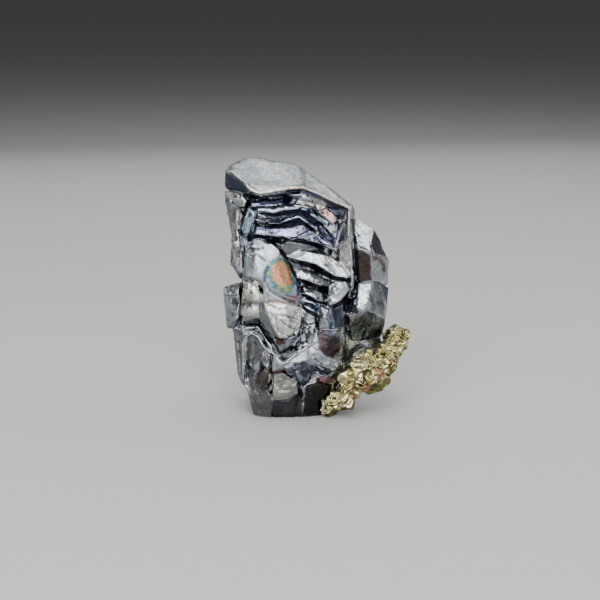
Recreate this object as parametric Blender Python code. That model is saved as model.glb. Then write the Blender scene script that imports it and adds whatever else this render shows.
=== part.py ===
"""A galena crystal, 29 mm tall: a skeletal crystal with a hollow, ribbed front, a smaller blocky crystal
grown onto its right side, a cluster of little crystals round its foot, and a bar of chalcopyrite.

Corners are given as (across, up, depth) in millimetres. Across and up are read in a view that looks
down on the crystal by VIEW_TILT, and depth is how far a corner lies behind the upright axis."""

from math import cos, radians, sin, tan
import random

import bmesh
import bpy
from mathutils import Euler, Matrix, Vector

MM = 0.001
VIEW_TILT = radians(14)
VIEW_DISTANCE = 148
SIGHT_HEIGHT = 12.41
CORE_FRONT_HIGH = -1.2
CORE_FRONT_LOW = -2.4
CORE_BACK = 4.2
RIB_REACH = 2.6
GAP = 0.3
GRAIN_SEED = 7
GROUND_REACH = 20


def seen(x, z, depth):
    """The world point of the spot seen x across and z up, and depth behind the upright axis."""
    behind = depth - z * tan(VIEW_TILT)
    spread = 1 + behind / VIEW_DISTANCE
    up = SIGHT_HEIGHT + (z - SIGHT_HEIGHT) * spread
    along = behind * cos(VIEW_TILT) + up * sin(VIEW_TILT)
    height = up * cos(VIEW_TILT) - behind * sin(VIEW_TILT)
    return Vector((x * spread, along, height))


def block(*corners, back=None, taper=0.9):
    """The world corners of a convex block. With back, its outline also runs in to that depth."""
    points = [seen(*corner) for corner in corners]
    if back is not None:
        middle_x = sum(corner[0] for corner in corners) / len(corners)
        middle_z = sum(corner[1] for corner in corners) / len(corners)
        for x, z, _ in corners:
            points.append(seen(middle_x + (x - middle_x) * taper, middle_z + (z - middle_z) * taper, back))
    return points


def shingles(lower, upper, reach=RIB_REACH, undercut=0.3):
    """Convex blocks, one a step, of a rib: a face from its lower edge to its upper edge, hollow below."""
    blocks = []
    for i in range(len(lower) - 1):
        points = []
        for (x, z, depth), (top_x, top_z, top_depth) in zip(lower[i : i + 2], upper[i : i + 2]):
            points += [seen(x, z, depth), seen(top_x, top_z, top_depth)]
            points += [seen(x, z + undercut, depth + reach), seen(top_x, top_z, top_depth + reach)]
        blocks.append(points)
    return blocks


def crystal(middle, size, turn, cut):
    """The corners of a cube with its own corners cut off: cut is 3 for a cube and 2 for a cuboctahedron."""
    rotation = Euler([radians(angle) for angle in turn]).to_matrix()
    short = cut - 2
    points = []
    for axis in range(3):
        for signs in range(8):
            corner = [size / 2 * (1 if signs >> k & 1 else -1) for k in range(3)]
            corner[axis] *= short
            points.append(seen(*middle) + rotation @ Vector(corner))
    return points


def core():
    """The mass behind the ribs, the foot and the faces."""
    return [
        block(
            (-6.8, 24.6, -0.9), (-7.1, 20.5, -0.6), (-6.7, 15, CORE_FRONT_HIGH), (5.4, 14, CORE_FRONT_HIGH),
            (5.6, 22.2, CORE_FRONT_HIGH), (0.4, 24.8, -0.9), (-6.2, 12, CORE_FRONT_HIGH),
            back=CORE_BACK, taper=0.92,
        ),
        block(
            (-6.4, 14, CORE_FRONT_LOW), (-6.8, 8, CORE_FRONT_LOW), (-6.6, 3.6, -2.2), (-5.0, -1.4, -2.6),
            (2.2, -1.6, -2.6), (4.2, 3.2, CORE_FRONT_LOW), (4.6, 11.5, CORE_FRONT_LOW),
            (0.5, 12.5, CORE_FRONT_LOW), back=CORE_BACK, taper=0.9,
        ),
    ]


def cap():
    """The broad face on top, in two slabs that meet at the peak of its rim, and its left end."""
    left = block(
        (-8.3, 27.2, -2.4), (-7.0, 26.15, -3.6), (-5.7, 25.3, -4.5), (-5.2, 24.75, -4.7), (-4.6, 24.6, -4.7),
        (-1.0, 25.25, -4.4), (0.4, 25.35, -4.2), (-8.75, 26.3, -1.2), (-8.5, 27.5, -1.0), (-8.0, 28.15, -0.6),
        (-7.0, 28.6, -0.1), (-6.0, 28.9, 0.4), (-5.0, 29.0, 0.6), (-4.2, 28.85, 0.5), (-3.6, 28.6, 0.2),
        (-6.2, 24.6, -3.4), (-7.5, 24.8, -2.0), (-8.5, 25.3, -1.2), (-4.6, 24.1, -3.8), (0.4, 24.8, -3.5),
        (-7.8, 26.5, 3.0), (-6.5, 27.0, 4.2), (-2.0, 26.6, 4.4), (0.4, 26.0, 4.0), (-6.5, 23.6, 3.5),
        (0.4, 24.2, 3.5),
    )
    right = block(
        (-3.2, 25.0, -4.3), (0.4, 25.35, -4.2), (2.0, 24.75, -4.0), (3.8, 23.9, -3.8), (5.65, 23.0, -3.5),
        (-3.4, 28.5, 0), (-2.0, 28.4, -0.3), (-1.0, 28.2, -0.6), (0, 27.9, -0.9), (0.6, 27.45, -1.2),
        (2.0, 26.1, -2.1), (3.0, 25.2, -2.6), (4.0, 24.5, -2.8), (5.2, 23.8, -2.6), (6.0, 23.2, -2.2),
        (6.3, 22.4, -1.4), (0.4, 24.85, -3.5), (3.0, 23.8, -3.1), (5.3, 22.4, -2.8), (-2.0, 26.8, 4.2),
        (3.0, 23.9, 3.4), (5.5, 22.0, 2.6), (-2.0, 24.6, 3.5), (2.0, 23.4, 3.4), (-1.0, 27.9, 1.4),
        (2.0, 25.6, 0.8), (4.6, 23.8, 0.6),
    )
    return [left, right]


def right_rim():
    """The bright upright edge on the right, with the pale wall to its left."""
    high = block(
        (5.65, 23.0, -3.5), (5.6, 19.8, -3.4), (4.9, 22.4, -2.7), (4.4, 21.4, -2.5), (4.2, 19.6, -2.2),
        (6.3, 22.4, -1.6), (6.15, 19.8, -1.2), (5.3, 22.0, 2.0), (5.3, 19.0, 2.0), (6.0, 22.3, 1.6),
        (6.0, 19.0, 1.6), (4.2, 19.6, 0),
    )
    middle = block(
        (5.6, 19.9, -3.4), (5.85, 17.2, -3.3), (4.3, 20.0, -2.2), (3.9, 18.4, -2.0), (4.4, 16.6, -2.3),
        (5.9, 16.0, -3.2), (6.2, 19.9, -1.2), (6.25, 16.0, -1.0), (6.0, 19.9, 2.0), (6.0, 15.6, 2.0),
        (4.0, 19.0, 0), (4.4, 16.0, 0),
    )
    low = block(
        (5.9, 16.2, -3.2), (6.05, 15.2, -3.2), (5.9, 14.0, -3.0), (5.2, 16.2, -2.9), (5.0, 14.6, -2.4),
        (6.2, 16.2, -1.2), (6.2, 13.6, -1.2), (5.9, 16.2, 1.5), (5.9, 12.6, 1.5), (5.0, 12.6, 0),
        (5.55, 12.6, -2.4),
    )
    return [high, middle, low]


def arches():
    """The pointed ribs that step down into the hollow below the cap."""
    bar = shingles(
        [(-5.7, 23.1, -3.0), (-4.4, 23.2, -3.0), (-3.1, 23.2, -2.9), (-2.0, 23.4, -2.6)],
        [(-5.7, 23.7, -2.6), (-4.4, 23.8, -2.5), (-3.1, 23.75, -2.4), (-2.0, 23.95, -2.1)],
    )
    first = shingles(
        [(-4.9, 22.6, -3.3), (-3.0, 22.4, -3.4), (-1.8, 22.85, -3.3), (-0.4, 22.85, -3.2), (0.7, 22.75, -3.3),
         (1.5, 22.15, -3.4), (2.2, 21.5, -3.3), (3.3, 20.8, -3.1)],
        [(-4.9, 23.0, -2.8), (-3.0, 22.95, -2.7), (-1.8, 23.3, -2.7), (-0.4, 23.4, -2.6), (0.7, 23.3, -2.6),
         (1.5, 22.8, -2.7), (2.2, 22.2, -2.7), (3.3, 21.3, -2.6)],
    )
    peak = block(
        (-0.9, 23.35, -3.0), (0, 24.15, -2.3), (0.65, 24.5, -2.1), (1.1, 24.2, -2.2), (1.8, 23.2, -2.8),
        (1.4, 22.85, -3.0), (0.5, 23.25, -3.1), back=-0.5,
    )
    second = shingles(
        [(-3.7, 21.2, -2.9), (-2.3, 21.2, -3.0), (-1.25, 21.6, -2.95), (-0.1, 21.9, -2.7), (0.5, 21.4, -2.9),
         (1.2, 20.95, -3.0), (2.1, 20.3, -3.0)],
        [(-3.7, 21.45, -2.4), (-2.3, 21.5, -2.5), (-1.2, 21.95, -2.3), (-0.1, 22.3, -2.1), (0.5, 21.95, -2.2),
         (1.2, 21.5, -2.3), (2.1, 20.8, -2.5)],
    )
    third = shingles(
        [(-5.3, 19.95, -3.5), (-3.0, 19.7, -3.6), (-1.0, 19.55, -3.5), (0.5, 19.3, -3.5), (2.0, 19.0, -3.3),
         (3.8, 18.1, -2.9)],
        [(-5.0, 21.0, -2.6), (-3.3, 20.65, -2.6), (-0.7, 20.8, -2.5), (0.2, 21.1, -2.3), (1.8, 20.0, -2.4),
         (3.6, 18.9, -2.3)],
    )
    spurs = [
        block((-4.85, 22.35, -3.1), (-3.8, 22.0, -3.0), (-3.8, 21.7, -2.9), (-4.8, 22.0, -2.9), back=-0.6),
        block((-5.1, 21.8, -2.7), (-4.1, 21.6, -2.7), (-3.9, 21.2, -2.6), (-5.0, 21.2, -2.6), back=-0.6),
        block((2.2, 21.1, -2.9), (2.5, 20.9, -3.1), (3.3, 19.9, -2.9), (3.0, 19.7, -2.7), back=-0.6),
        block((2.1, 20.0, -2.8), (2.5, 19.9, -3.1), (3.7, 18.7, -2.8), (3.3, 18.5, -2.6), back=-0.6),
    ]
    return bar + first + [peak] + second + third + spurs


def tarnished_strip():
    """The slanted strip between the ribs and the right rim."""
    return [
        block(
            (1.3, 24.3, -2.6), (2.5, 23.85, -2.9), (3.1, 23.3, -3.0), (3.0, 22.85, -3.2), (2.2, 22.6, -3.4),
            (1.75, 23.1, -3.3), back=-0.6,
        ),
        block(
            (3.05, 22.95, -3.1), (4.2, 22.1, -3.0), (4.4, 21.6, -2.9), (3.7, 21.1, -3.1), (2.2, 22.5, -3.4),
            back=-0.6,
        ),
        block(
            (2.5, 24.05, -3.2), (4.5, 22.95, -3.1), (4.9, 22.2, -2.8), (4.2, 22.1, -2.6), (3.1, 23.0, -2.6),
            back=-0.4,
        ),
    ]


def lamellae():
    """The slanted plates that run down from the tongue to the right rim."""
    widest = shingles(
        [(-1.3, 17.2, -3.3), (0.5, 16.9, -3.5), (1.8, 16.55, -3.6), (3.0, 15.8, -3.6), (4.1, 15.15, -3.5),
         (5.5, 14.95, -3.4)],
        [(-1.6, 17.7, -2.9), (0, 18.0, -2.6), (1.5, 18.05, -2.7), (2.9, 17.8, -2.8), (4.0, 16.9, -2.8),
         (5.2, 16.2, -2.9)],
    )
    roof = shingles(
        [(-1.9, 17.6, -2.7), (0, 17.9, -2.5), (2.5, 17.9, -2.5)],
        [(-3.0, 19.4, -1.9), (0, 18.75, -1.6), (2.6, 18.35, -1.6)],
    )
    second = shingles(
        [(-0.7, 14.95, -3.3), (1.0, 14.6, -3.4), (2.2, 14.1, -3.4), (3.4, 14.05, -3.1)],
        [(-1.0, 15.75, -2.7), (1.2, 15.6, -2.6), (2.1, 15.15, -2.7), (3.6, 14.55, -2.7)],
    )
    third = shingles(
        [(0, 13.2, -3.2), (1.4, 12.8, -3.3), (2.1, 12.2, -3.3), (3.1, 12.1, -3.1)],
        [(-0.1, 14.1, -2.5), (1.5, 13.6, -2.5), (2.4, 13.4, -2.6), (3.2, 12.6, -2.7)],
    )
    fourth = shingles(
        [(0.4, 11.6, -3.1), (1.4, 11.1, -3.2), (2.2, 10.6, -3.0)],
        [(0.3, 12.4, -2.4), (1.4, 12.0, -2.5), (2.2, 11.5, -2.5)],
    )
    return widest + roof + second + third + fourth


def rim_foot():
    """The crumpled knob where the right rim ends."""
    return [
        block(
            (3.4, 14.1, -3.6), (4.2, 14.5, -3.8), (5.3, 14.45, -3.7), (5.6, 13.6, -3.5), (4.6, 12.3, -3.7),
            (3.3, 12.3, -3.6), (4.3, 13.4, -4.2), back=-1, taper=0.85,
        ),
        block(
            (3.3, 12.9, -3.7), (4.6, 12.4, -3.7), (3.4, 11.5, -3.5), (3.05, 12.2, -3.4), (3.7, 12.3, -4.0),
            back=-1, taper=0.85,
        ),
    ]


def left_flank():
    """The bright uneven edge down the left side, the notched shelf under the cap and the swelling by it."""
    shelf = block(
        (-8.6, 24.9, -1.4), (-8.5, 23.5, -1.2), (-7.9, 23.35, -2.4), (-7.0, 24.05, -3.1), (-6.1, 23.9, -3.4),
        (-6.25, 23.1, -3.2), (-7.0, 23.0, -2.9), (-6.6, 24.5, -3.0), back=1.5, taper=0.95,
    )
    high = block(
        (-8.5, 23.6, -1.1), (-8.1, 22.1, -1.0), (-7.8, 23.2, -2.2), (-6.9, 23.0, -2.7), (-6.5, 22.0, -2.6),
        (-6.8, 20.6, -2.5), (-7.75, 19.6, -1.0), (-7.2, 20.6, -2.3), back=1.8, taper=0.9,
    )
    low = block(
        (-7.8, 20.4, -1.0), (-7.65, 18.0, -1.0), (-7.9, 16.7, -1.0), (-7.55, 16.0, -1.2), (-6.85, 14.8, -1.2),
        (-7.0, 20.2, -2.4), (-6.7, 17.5, -2.8), (-6.5, 15.5, -2.6), (-7.3, 17.2, -2.4), back=2.2, taper=0.85,
    )
    swelling = block(
        (-5.95, 23.2, -3.2), (-5.2, 22.5, -3.1), (-5.3, 21.0, -3.3), (-5.8, 20.1, -3.4), (-6.4, 19.9, -3.3),
        (-6.75, 20.8, -3.1), (-6.4, 22.0, -3.2), (-6.0, 21.3, -3.8), back=-1, taper=0.95,
    )
    return [shelf, high, low, swelling]


def tongue():
    """The smooth swollen plate in front, which overhangs the slanted plates."""
    return [
        block(
            (-6.0, 19.1, -3.4), (-5.0, 19.6, -3.3), (-4.0, 19.5, -3.3), (-3.4, 19.1, -3.3),
            (-2.7, 18.4, -3.5), (-2.0, 17.6, -3.7), (-1.6, 17.0, -3.8), (-1.2, 16.0, -3.9),
            (-0.8, 15.2, -3.9), (-0.3, 14.4, -3.8), (0, 13.6, -3.8), (-6.3, 18.3, -3.3),
            (-6.4, 16.2, -3.4), (-6.5, 14.9, -3.4), (-5.2, 18.0, -4.3), (-4.0, 18.0, -4.4),
            (-3.0, 16.6, -4.8), (-5.2, 16.0, -4.7), (-2.4, 15.2, -4.9), (-4.2, 14.6, -5.0),
            (-5.6, 14.8, -4.5), (-1.4, 14.2, -4.7), (-3.6, 13.6, -4.9), (-0.4, 13.2, -4.2),
            back=-1, taper=0.98,
        ),
        block(
            (-4.1, 15.6, -4.9), (-4.3, 14.3, -4.9), (-4.2, 12.9, -4.9), (-3.2, 12.2, -5.0),
            (-1.8, 11.9, -4.95), (-0.3, 11.7, -4.4), (-0.1, 12.2, -4.1), (0.15, 13.0, -3.9),
            (-1.2, 14.2, -4.9), (-0.2, 14.2, -3.9), (-2.4, 14.2, -5.15), back=-1, taper=0.95,
        ),
    ]


def middle_faces():
    """The pale knob under the tongue, with the faces on its left."""
    knob = block(
        (-4.0, 11.3, -4.9), (-3.6, 12.4, -4.8), (-1.5, 12.2, -4.9), (0, 11.5, -4.2), (0.25, 10.4, -4.1),
        (0, 9.5, -4.1), (-0.8, 8.6, -4.3), (-1.6, 8.0, -4.4), (-2.6, 7.85, -4.5), (-3.0, 8.6, -4.8),
        (-3.2, 10.0, -5.0), (-1.8, 10.6, -5.4), (-1.3, 9.6, -5.2), back=-1.6, taper=0.85,
    )
    band = block(
        (-4.9, 13.4, -4.6), (-3.8, 12.8, -4.8), (-3.9, 11.2, -4.9), (-3.2, 9.8, -4.9), (-2.9, 8.0, -4.4),
        (-3.4, 8.0, -4.0), (-4.4, 9.6, -3.9), (-4.8, 10.6, -4.1), back=-1.6, taper=0.9,
    )
    left = block(
        (-6.4, 14.6, -3.9), (-4.9, 14.2, -4.7), (-4.5, 12.8, -4.8), (-4.7, 10.3, -4.3), (-6.0, 10.15, -3.8),
        (-6.95, 10.9, -3.2), (-6.6, 12.4, -3.6), (-5.5, 12.6, -4.9), (-5.2, 11.0, -4.7), back=-1, taper=0.9,
    )
    return [knob, band, left]


def left_block():
    """The small crystal that stands out on the left side."""
    return [
        block(
            (-7.0, 14.45, -1.6), (-8.7, 13.9, -0.9), (-8.8, 13.4, -0.9), (-8.45, 11.0, -0.7),
            (-8.3, 9.3, -0.6), (-7.6, 9.1, -1.2), (-6.9, 13.0, -2.6), (-6.9, 10.4, -2.6),
            (-8.3, 13.0, -1.8), (-7.9, 10.0, -1.8), back=2.4, taper=0.9,
        ),
    ]


def foot_left():
    """The leaf shaped crystals at the lower left."""
    side = block(
        (-7.7, 9.2, -0.6), (-7.4, 8.2, -0.8), (-7.25, 6.0, -0.9), (-7.1, 4.0, -1.0), (-6.7, 2.9, -1.2),
        (-5.8, 2.1, -1.8), (-6.6, 8.8, -2.8), (-6.6, 7.0, -2.9), (-6.5, 3.4, -2.6), (-5.9, 8.0, -3.2),
        back=1.6, taper=0.9,
    )
    first = block(
        (-6.1, 8.3, -3.3), (-5.6, 8.65, -3.6), (-4.8, 8.15, -4.1), (-4.4, 7.6, -4.3), (-4.05, 6.95, -4.4),
        (-3.5, 6.35, -4.5), (-3.2, 6.1, -4.5), (-6.2, 5.4, -3.0), (-5.2, 4.0, -3.6), (-4.5, 5.6, -4.3),
        (-3.4, 4.6, -4.4), back=-1, taper=0.9,
    )
    ridge = block(
        (-4.05, 8.0, -3.9), (-3.4, 7.2, -4.3), (-3.1, 6.3, -4.6), (-3.5, 6.5, -4.3), (-3.8, 7.3, -3.9),
        back=-1, taper=1,
    )
    second = block(
        (-4.4, 5.6, -4.2), (-3.35, 4.6, -4.5), (-3.45, 3.4, -4.4), (-3.8, 2.2, -4.1), (-4.6, 1.8, -3.8),
        (-5.0, 4.0, -3.7), (-4.0, 3.6, -4.6), back=-1, taper=0.9,
    )
    toe = block(
        (-5.9, 5.0, -2.9), (-5.2, 4.0, -3.6), (-5.75, 2.0, -2.8), (-5.7, 0.6, -3.0), (-5.0, -0.9, -3.0),
        (-4.7, 2.2, -3.8), (-3.6, 2.0, -3.9), (-3.2, 1.2, -3.9), (-3.3, -1.0, -3.5), back=0, taper=0.9,
    )
    return [side, first, ridge, second, toe]


def foot_middle():
    """The blocks under the knob, with the bright V shaped edge."""
    grey = block(
        (-4.0, 6.4, -4.3), (-3.1, 6.3, -4.6), (-1.9, 5.15, -4.9), (-1.7, 4.6, -4.9), (-2.2, 4.15, -4.7),
        (-3.3, 3.9, -4.4), (-3.6, 4.8, -4.4), back=-1, taper=0.9,
    )
    slate = block(
        (-1.9, 5.2, -4.9), (-0.9, 5.7, -4.7), (-0.2, 6.3, -4.5), (0.3, 7.0, -4.2), (0.9, 7.15, -4.1),
        (1.9, 5.1, -4.1), (1.4, 4.0, -4.0), (1.0, 3.0, -3.8), (0.3, 2.6, -3.9), (-1.5, 4.0, -4.7),
        (0, 4.6, -5.0), (0.9, 5.6, -4.6), back=-1, taper=0.85,
    )
    beige = block(
        (-3.3, 3.95, -4.2), (-2.4, 4.15, -4.4), (-1.8, 3.95, -4.5), (-1.0, 3.4, -4.4), (-0.3, 2.9, -4.1),
        (-0.2, 1.5, -3.9), (-1.2, 0.9, -3.8), (-3.2, 1.0, -3.8), (-3.1, -1.0, -3.4), (-0.6, -1.0, -3.4),
        back=0, taper=0.9,
    )
    brown = block(
        (-3.1, 7.9, -4.0), (-1.8, 7.9, -4.1), (-1.1, 6.9, -3.9), (-2.4, 6.4, -3.8), (0.1, 8.4, -3.4),
        (0, 7.2, -3.3), back=-1, taper=0.9,
    )
    return [grey, slate, beige, brown]


def foot_right():
    """The pillar, the dark blocks and the toe at the lower right."""
    pillar = block(
        (2.25, 11.7, -3.2), (3.35, 11.3, -3.5), (3.3, 8.8, -3.8), (2.15, 8.8, -3.6), (2.8, 10.6, -3.9),
        back=-1, taper=0.95,
    )
    maroon = block(
        (2.1, 8.95, -3.7), (3.2, 9.0, -3.9), (4.3, 9.15, -3.6), (4.9, 9.0, -3.1), (4.9, 5.2, -2.9),
        (4.0, 4.95, -3.4), (3.2, 4.65, -3.6), (2.2, 5.3, -4.0), (1.2, 6.2, -4.2), (1.1, 7.1, -4.0),
        (3.0, 6.6, -4.3), back=-0.6, taper=0.9,
    )
    blue = block(
        (3.4, 11.4, -3.2), (4.9, 11.9, -2.4), (5.0, 9.1, -2.6), (4.0, 9.1, -3.4), (3.4, 9.1, -3.3),
        back=-0.6, taper=0.95,
    )
    crumple = block(
        (0.4, 9.6, -3.1), (1.9, 9.8, -3.3), (2.1, 7.2, -3.7), (0.9, 7.2, -3.7), (1.4, 8.4, -4.0),
        back=-1, taper=0.9,
    )
    toe = block(
        (1.5, 3.9, -3.4), (3.8, 3.9, -2.9), (4.2, 3.1, -2.7), (3.4, 2.1, -2.7), (2.9, 1.2, -2.8),
        (2.8, -0.6, -2.6), (1.9, -1.1, -3.0), (0.8, 0.2, -3.5), (0.2, 1.0, -3.7), (0.9, 2.5, -3.7),
        (2.2, 2.6, -3.6), (0.4, -1.2, -3.2), back=0, taper=0.9,
    )
    filler = block(
        (-0.6, 3.2, -3.7), (1.6, 4.2, -3.6), (1.2, 0.8, -3.5), (-0.6, 0.8, -3.6), (-0.4, -1.2, -3.2),
        (1.2, -1.2, -3.2), back=0, taper=0.9,
    )
    side = block(
        (4.4, 11.5, -1.6), (5.6, 11.0, -0.6), (5.4, 7.0, -0.4), (4.8, 4.6, -1.4), (4.4, 2.6, -1.8),
        (3.2, -0.8, -1.6), back=2.4, taper=0.9,
    )
    return [pillar, maroon, blue, crumple, toe, filler, side]


def right_crystal():
    """The blocky crystal grown onto the right side: two lobes with a valley between them."""
    upper = block(
        (6.45, 21.9, 1.2), (8.5, 20.4, 1.4), (7.9, 17.7, -1.4), (6.35, 18.25, -1.6), (6.1, 20.2, -0.4),
        (8.25, 14.5, -0.4), (7.1, 14.3, -0.6), (6.3, 15.0, -0.6), (9.9, 17.5, 2.0), (9.1, 14.2, 1.0),
        (10.2, 16.8, 2.6), (10.1, 14.4, 2.6), (8.4, 19.6, 4.2), (9.6, 16.6, 4.8), (9.4, 13.8, 4.6),
        (5.5, 21.0, 3.4), (5.0, 17.0, 4.0), (5.0, 14.0, 2.0), (5.6, 18.0, 0), (7.0, 13.0, 1.6),
        (8.8, 13.0, 3.2), (6.0, 12.6, 2.6),
    )
    lower = block(
        (6.8, 14.4, -0.6), (8.2, 14.5, -0.5), (9.2, 14.3, 0.8), (7.9, 12.1, -1.5), (7.4, 11.05, -1.9),
        (6.6, 11.15, -1.9), (6.1, 12.2, -1.3), (9.65, 12.6, 1.2), (9.8, 10.4, 1.0), (9.6, 9.3, 1.2),
        (9.2, 8.2, 1.0), (8.0, 7.85, 0), (6.0, 7.8, -0.4), (5.8, 9.0, -1.0), (10.1, 13.8, 2.6),
        (9.9, 12.0, 3.0), (9.5, 13.6, 4.6), (9.2, 9.4, 3.6), (8.6, 8.4, 3.0), (5.0, 14.0, 3.6),
        (5.0, 9.0, 3.0), (5.5, 13.0, 0.6),
    )
    shoulder = block(
        (5.2, 10.9, -1.6), (6.8, 11.05, -1.9), (6.2, 9.9, -1.6), (5.8, 9.1, -1.2), (5.3, 9.9, -1.2),
        back=1, taper=1,
    )
    foot = block(
        (5.2, 8.2, 0.3), (8.0, 8.4, 0.8), (9.1, 8.4, 1.4), (9.3, 7.4, 1.2), (9.0, 6.4, 1.2), (8.2, 6.6, 0.6),
        (5.2, 5.0, 0.2),
        back=3.2, taper=0.9,
    )
    return [upper, lower, shoulder, foot]


def back_crystals():
    """The blocky crystals and growth steps on the back, turned like the front's own faces."""
    turn = (12, -18, 24)
    return [
        crystal((-1.2, 17.6, 1.4), 8.4, turn, 2.45),
        crystal((-3.2, 23.0, 1.6), 6.0, turn, 2.3),
        crystal((-2.6, 9.6, 1.8), 7.4, (20, 8, -16), 2.5),
        crystal((1.6, 12.6, 2.4), 6.6, turn, 2.6),
        crystal((0.8, 4.2, 1.0), 6.0, (-10, 16, 34), 2.4),
        crystal((2.6, 19.6, 2.2), 5.2, turn, 2.5),
        crystal((-2.2, 15.8, 3.6), 5.4, turn, 2.8),
        crystal((0.2, 20.6, 3.4), 4.4, turn, 2.7),
        crystal((-4.6, 6.2, 2.4), 3.8, (40, 12, 10), 2.4),
        crystal((3.4, 8.2, 2.8), 4.0, (15, 50, 8), 2.3),
        crystal((-5.2, 12.6, 2.2), 3.4, (30, -10, 40), 2.5),
    ]


def chalcopyrite_grains():
    """Small blocky grains along the bar, from its foot to its raised end, and the few large ones."""
    line = [
        ((3.3, 0.3, -2.6), 1.9), ((4.7, 1.1, -2.6), 2.1), ((5.7, 2.4, -2.5), 2.2), ((6.9, 3.9, -2.2), 3.0),
        ((7.4, 5.6, -1.9), 2.0), ((8.2, 4.3, -1.9), 2.2), ((9.3, 4.6, -1.5), 1.8), ((10.0, 5.6, -1.2), 1.8),
        ((10.5, 6.8, -0.9), 1.9), ((11.3, 7.9, -0.7), 2.0), ((10.7, 8.1, -0.5), 1.6),
    ]
    rng = random.Random(GRAIN_SEED)
    grains = []
    for middle, size in line:
        turn = [rng.uniform(0, 90) for _ in range(3)]
        grains.append(crystal(middle, size, turn, 2.3))
        for _ in range(2):
            away = [rng.uniform(-0.6, 0.6) for _ in range(3)]
            place = [m + a * size for m, a in zip(middle, away)]
            turn = [rng.uniform(0, 90) for _ in range(3)]
            grains.append(crystal(place, size * rng.uniform(0.5, 0.75), turn, rng.uniform(2.1, 2.8)))
    return grains


def grown(points):
    """The corners of the same block with a skin as thick as the gap between two pieces."""
    steps = [Vector(), *(Vector([side * 1.5 * GAP if k == axis else 0 for k in range(3)])
                         for axis in range(3) for side in (-1, 1))]
    return [point + step for point in points for step in steps]


def hull_object(name, points):
    """A helper object: the convex hull of the points, in millimetres."""
    bm = bmesh.new()
    for point in points:
        bm.verts.new(point)
    hull = bmesh.ops.convex_hull(bm, input=bm.verts)
    spare = [v for v in hull["geom_interior"] + hull["geom_unused"] if isinstance(v, bmesh.types.BMVert)]
    bmesh.ops.delete(bm, geom=list(set(spare)), context="VERTS")
    bmesh.ops.recalc_face_normals(bm, faces=bm.faces)
    mesh = bpy.data.meshes.new(name)
    bm.to_mesh(mesh)
    bm.free()
    return bpy.data.objects.new(name, mesh)


def helper_group(name, blocks):
    group = bpy.data.collections.new(name)
    bpy.context.scene.collection.children.link(group)
    for index, points in enumerate(blocks):
        helper = hull_object(f"{name}_{index}", points)
        helper.hide_render = True
        helper.display_type = "WIRE"
        group.objects.link(helper)
    return group


def add_boolean(piece, operation, group):
    modifier = piece.modifiers.new(operation.lower(), "BOOLEAN")
    modifier.operation = operation
    modifier.operand_type = "COLLECTION"
    modifier.collection = group
    modifier.solver = "EXACT"


def outer_body(mesh):
    """Leaves only the mesh's largest shell, without the closed pockets that blocks can leave between them."""
    bm = bmesh.new()
    bm.from_mesh(mesh)
    left = set(bm.verts)
    shells = []
    while left:
        edge_of_search = [left.pop()]
        shell = list(edge_of_search)
        while edge_of_search:
            vert = edge_of_search.pop()
            for edge in vert.link_edges:
                other = edge.other_vert(vert)
                if other in left:
                    left.remove(other)
                    edge_of_search.append(other)
                    shell.append(other)
        shells.append(shell)
    shells.sort(key=len)
    for shell in shells[:-1]:
        bmesh.ops.delete(bm, geom=shell, context="VERTS")
    bm.to_mesh(mesh)
    bm.free()


def finish_piece(name, material, first, unions, cutters):
    """Joins the blocks, cuts the cutters away, and leaves one object in metres."""
    piece = hull_object(name, first)
    bpy.context.scene.collection.objects.link(piece)
    add_boolean(piece, "UNION", unions)
    add_boolean(piece, "DIFFERENCE", cutters)
    graph = bpy.context.evaluated_depsgraph_get()
    mesh = bpy.data.meshes.new_from_object(piece.evaluated_get(graph))
    outer_body(mesh)
    mesh.transform(Matrix.Scale(MM, 4))
    piece.modifiers.clear()
    piece.data = mesh
    mesh.materials.clear()
    mesh.materials.append(material)
    return piece


def metal(name, colour, roughness):
    material = bpy.data.materials.new(name)
    material.use_nodes = True
    shader = material.node_tree.nodes["Principled BSDF"]
    shader.inputs["Base Color"].default_value = (*colour, 1)
    shader.inputs["Metallic"].default_value = 1
    shader.inputs["Roughness"].default_value = roughness
    return material


def below_ground():
    """The corners of a block that fills the space under the flat spot that the crystal rests on."""
    sides = (-GROUND_REACH, GROUND_REACH)
    return [Vector((x, y, z)) for x in sides for y in sides for z in (-GROUND_REACH, 0)]


def main():
    for old in list(bpy.data.objects):
        bpy.data.objects.remove(old)
    galena_blocks = (
        core() + cap() + right_rim() + arches() + tarnished_strip() + lamellae() + rim_foot()
        + left_flank() + tongue() + middle_faces() + left_block() + foot_left() + foot_middle()
        + foot_right() + right_crystal() + back_crystals()
    )
    ground = helper_group("ground", [below_ground()])
    finish_piece(
        "galena", metal("galena", (0.36, 0.37, 0.4), 0.3), galena_blocks[0],
        helper_group("galena_block", galena_blocks[1:]), ground,
    )
    grains = chalcopyrite_grains()
    clear = helper_group("clearance", [below_ground()] + [grown(points) for points in galena_blocks])
    finish_piece(
        "chalcopyrite", metal("chalcopyrite", (0.62, 0.5, 0.24), 0.35), grains[0],
        helper_group("grain", grains[1:]), clear,
    )


main()
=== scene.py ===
import random
from itertools import permutations
from math import cos, pi, radians, sin, tan

import bmesh
import bpy
import numpy as np
from mathutils import Euler, Matrix, Vector


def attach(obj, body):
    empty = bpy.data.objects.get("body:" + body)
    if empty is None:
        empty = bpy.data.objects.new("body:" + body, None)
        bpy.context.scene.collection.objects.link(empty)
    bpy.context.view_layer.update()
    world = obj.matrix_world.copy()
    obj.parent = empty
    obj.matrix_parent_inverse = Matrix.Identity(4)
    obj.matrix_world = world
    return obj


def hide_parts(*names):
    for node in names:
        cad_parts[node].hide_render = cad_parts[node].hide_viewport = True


# The scene is in metres. Shapes are worked out in millimetres, which MM takes to metres.
MM = 0.001

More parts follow.
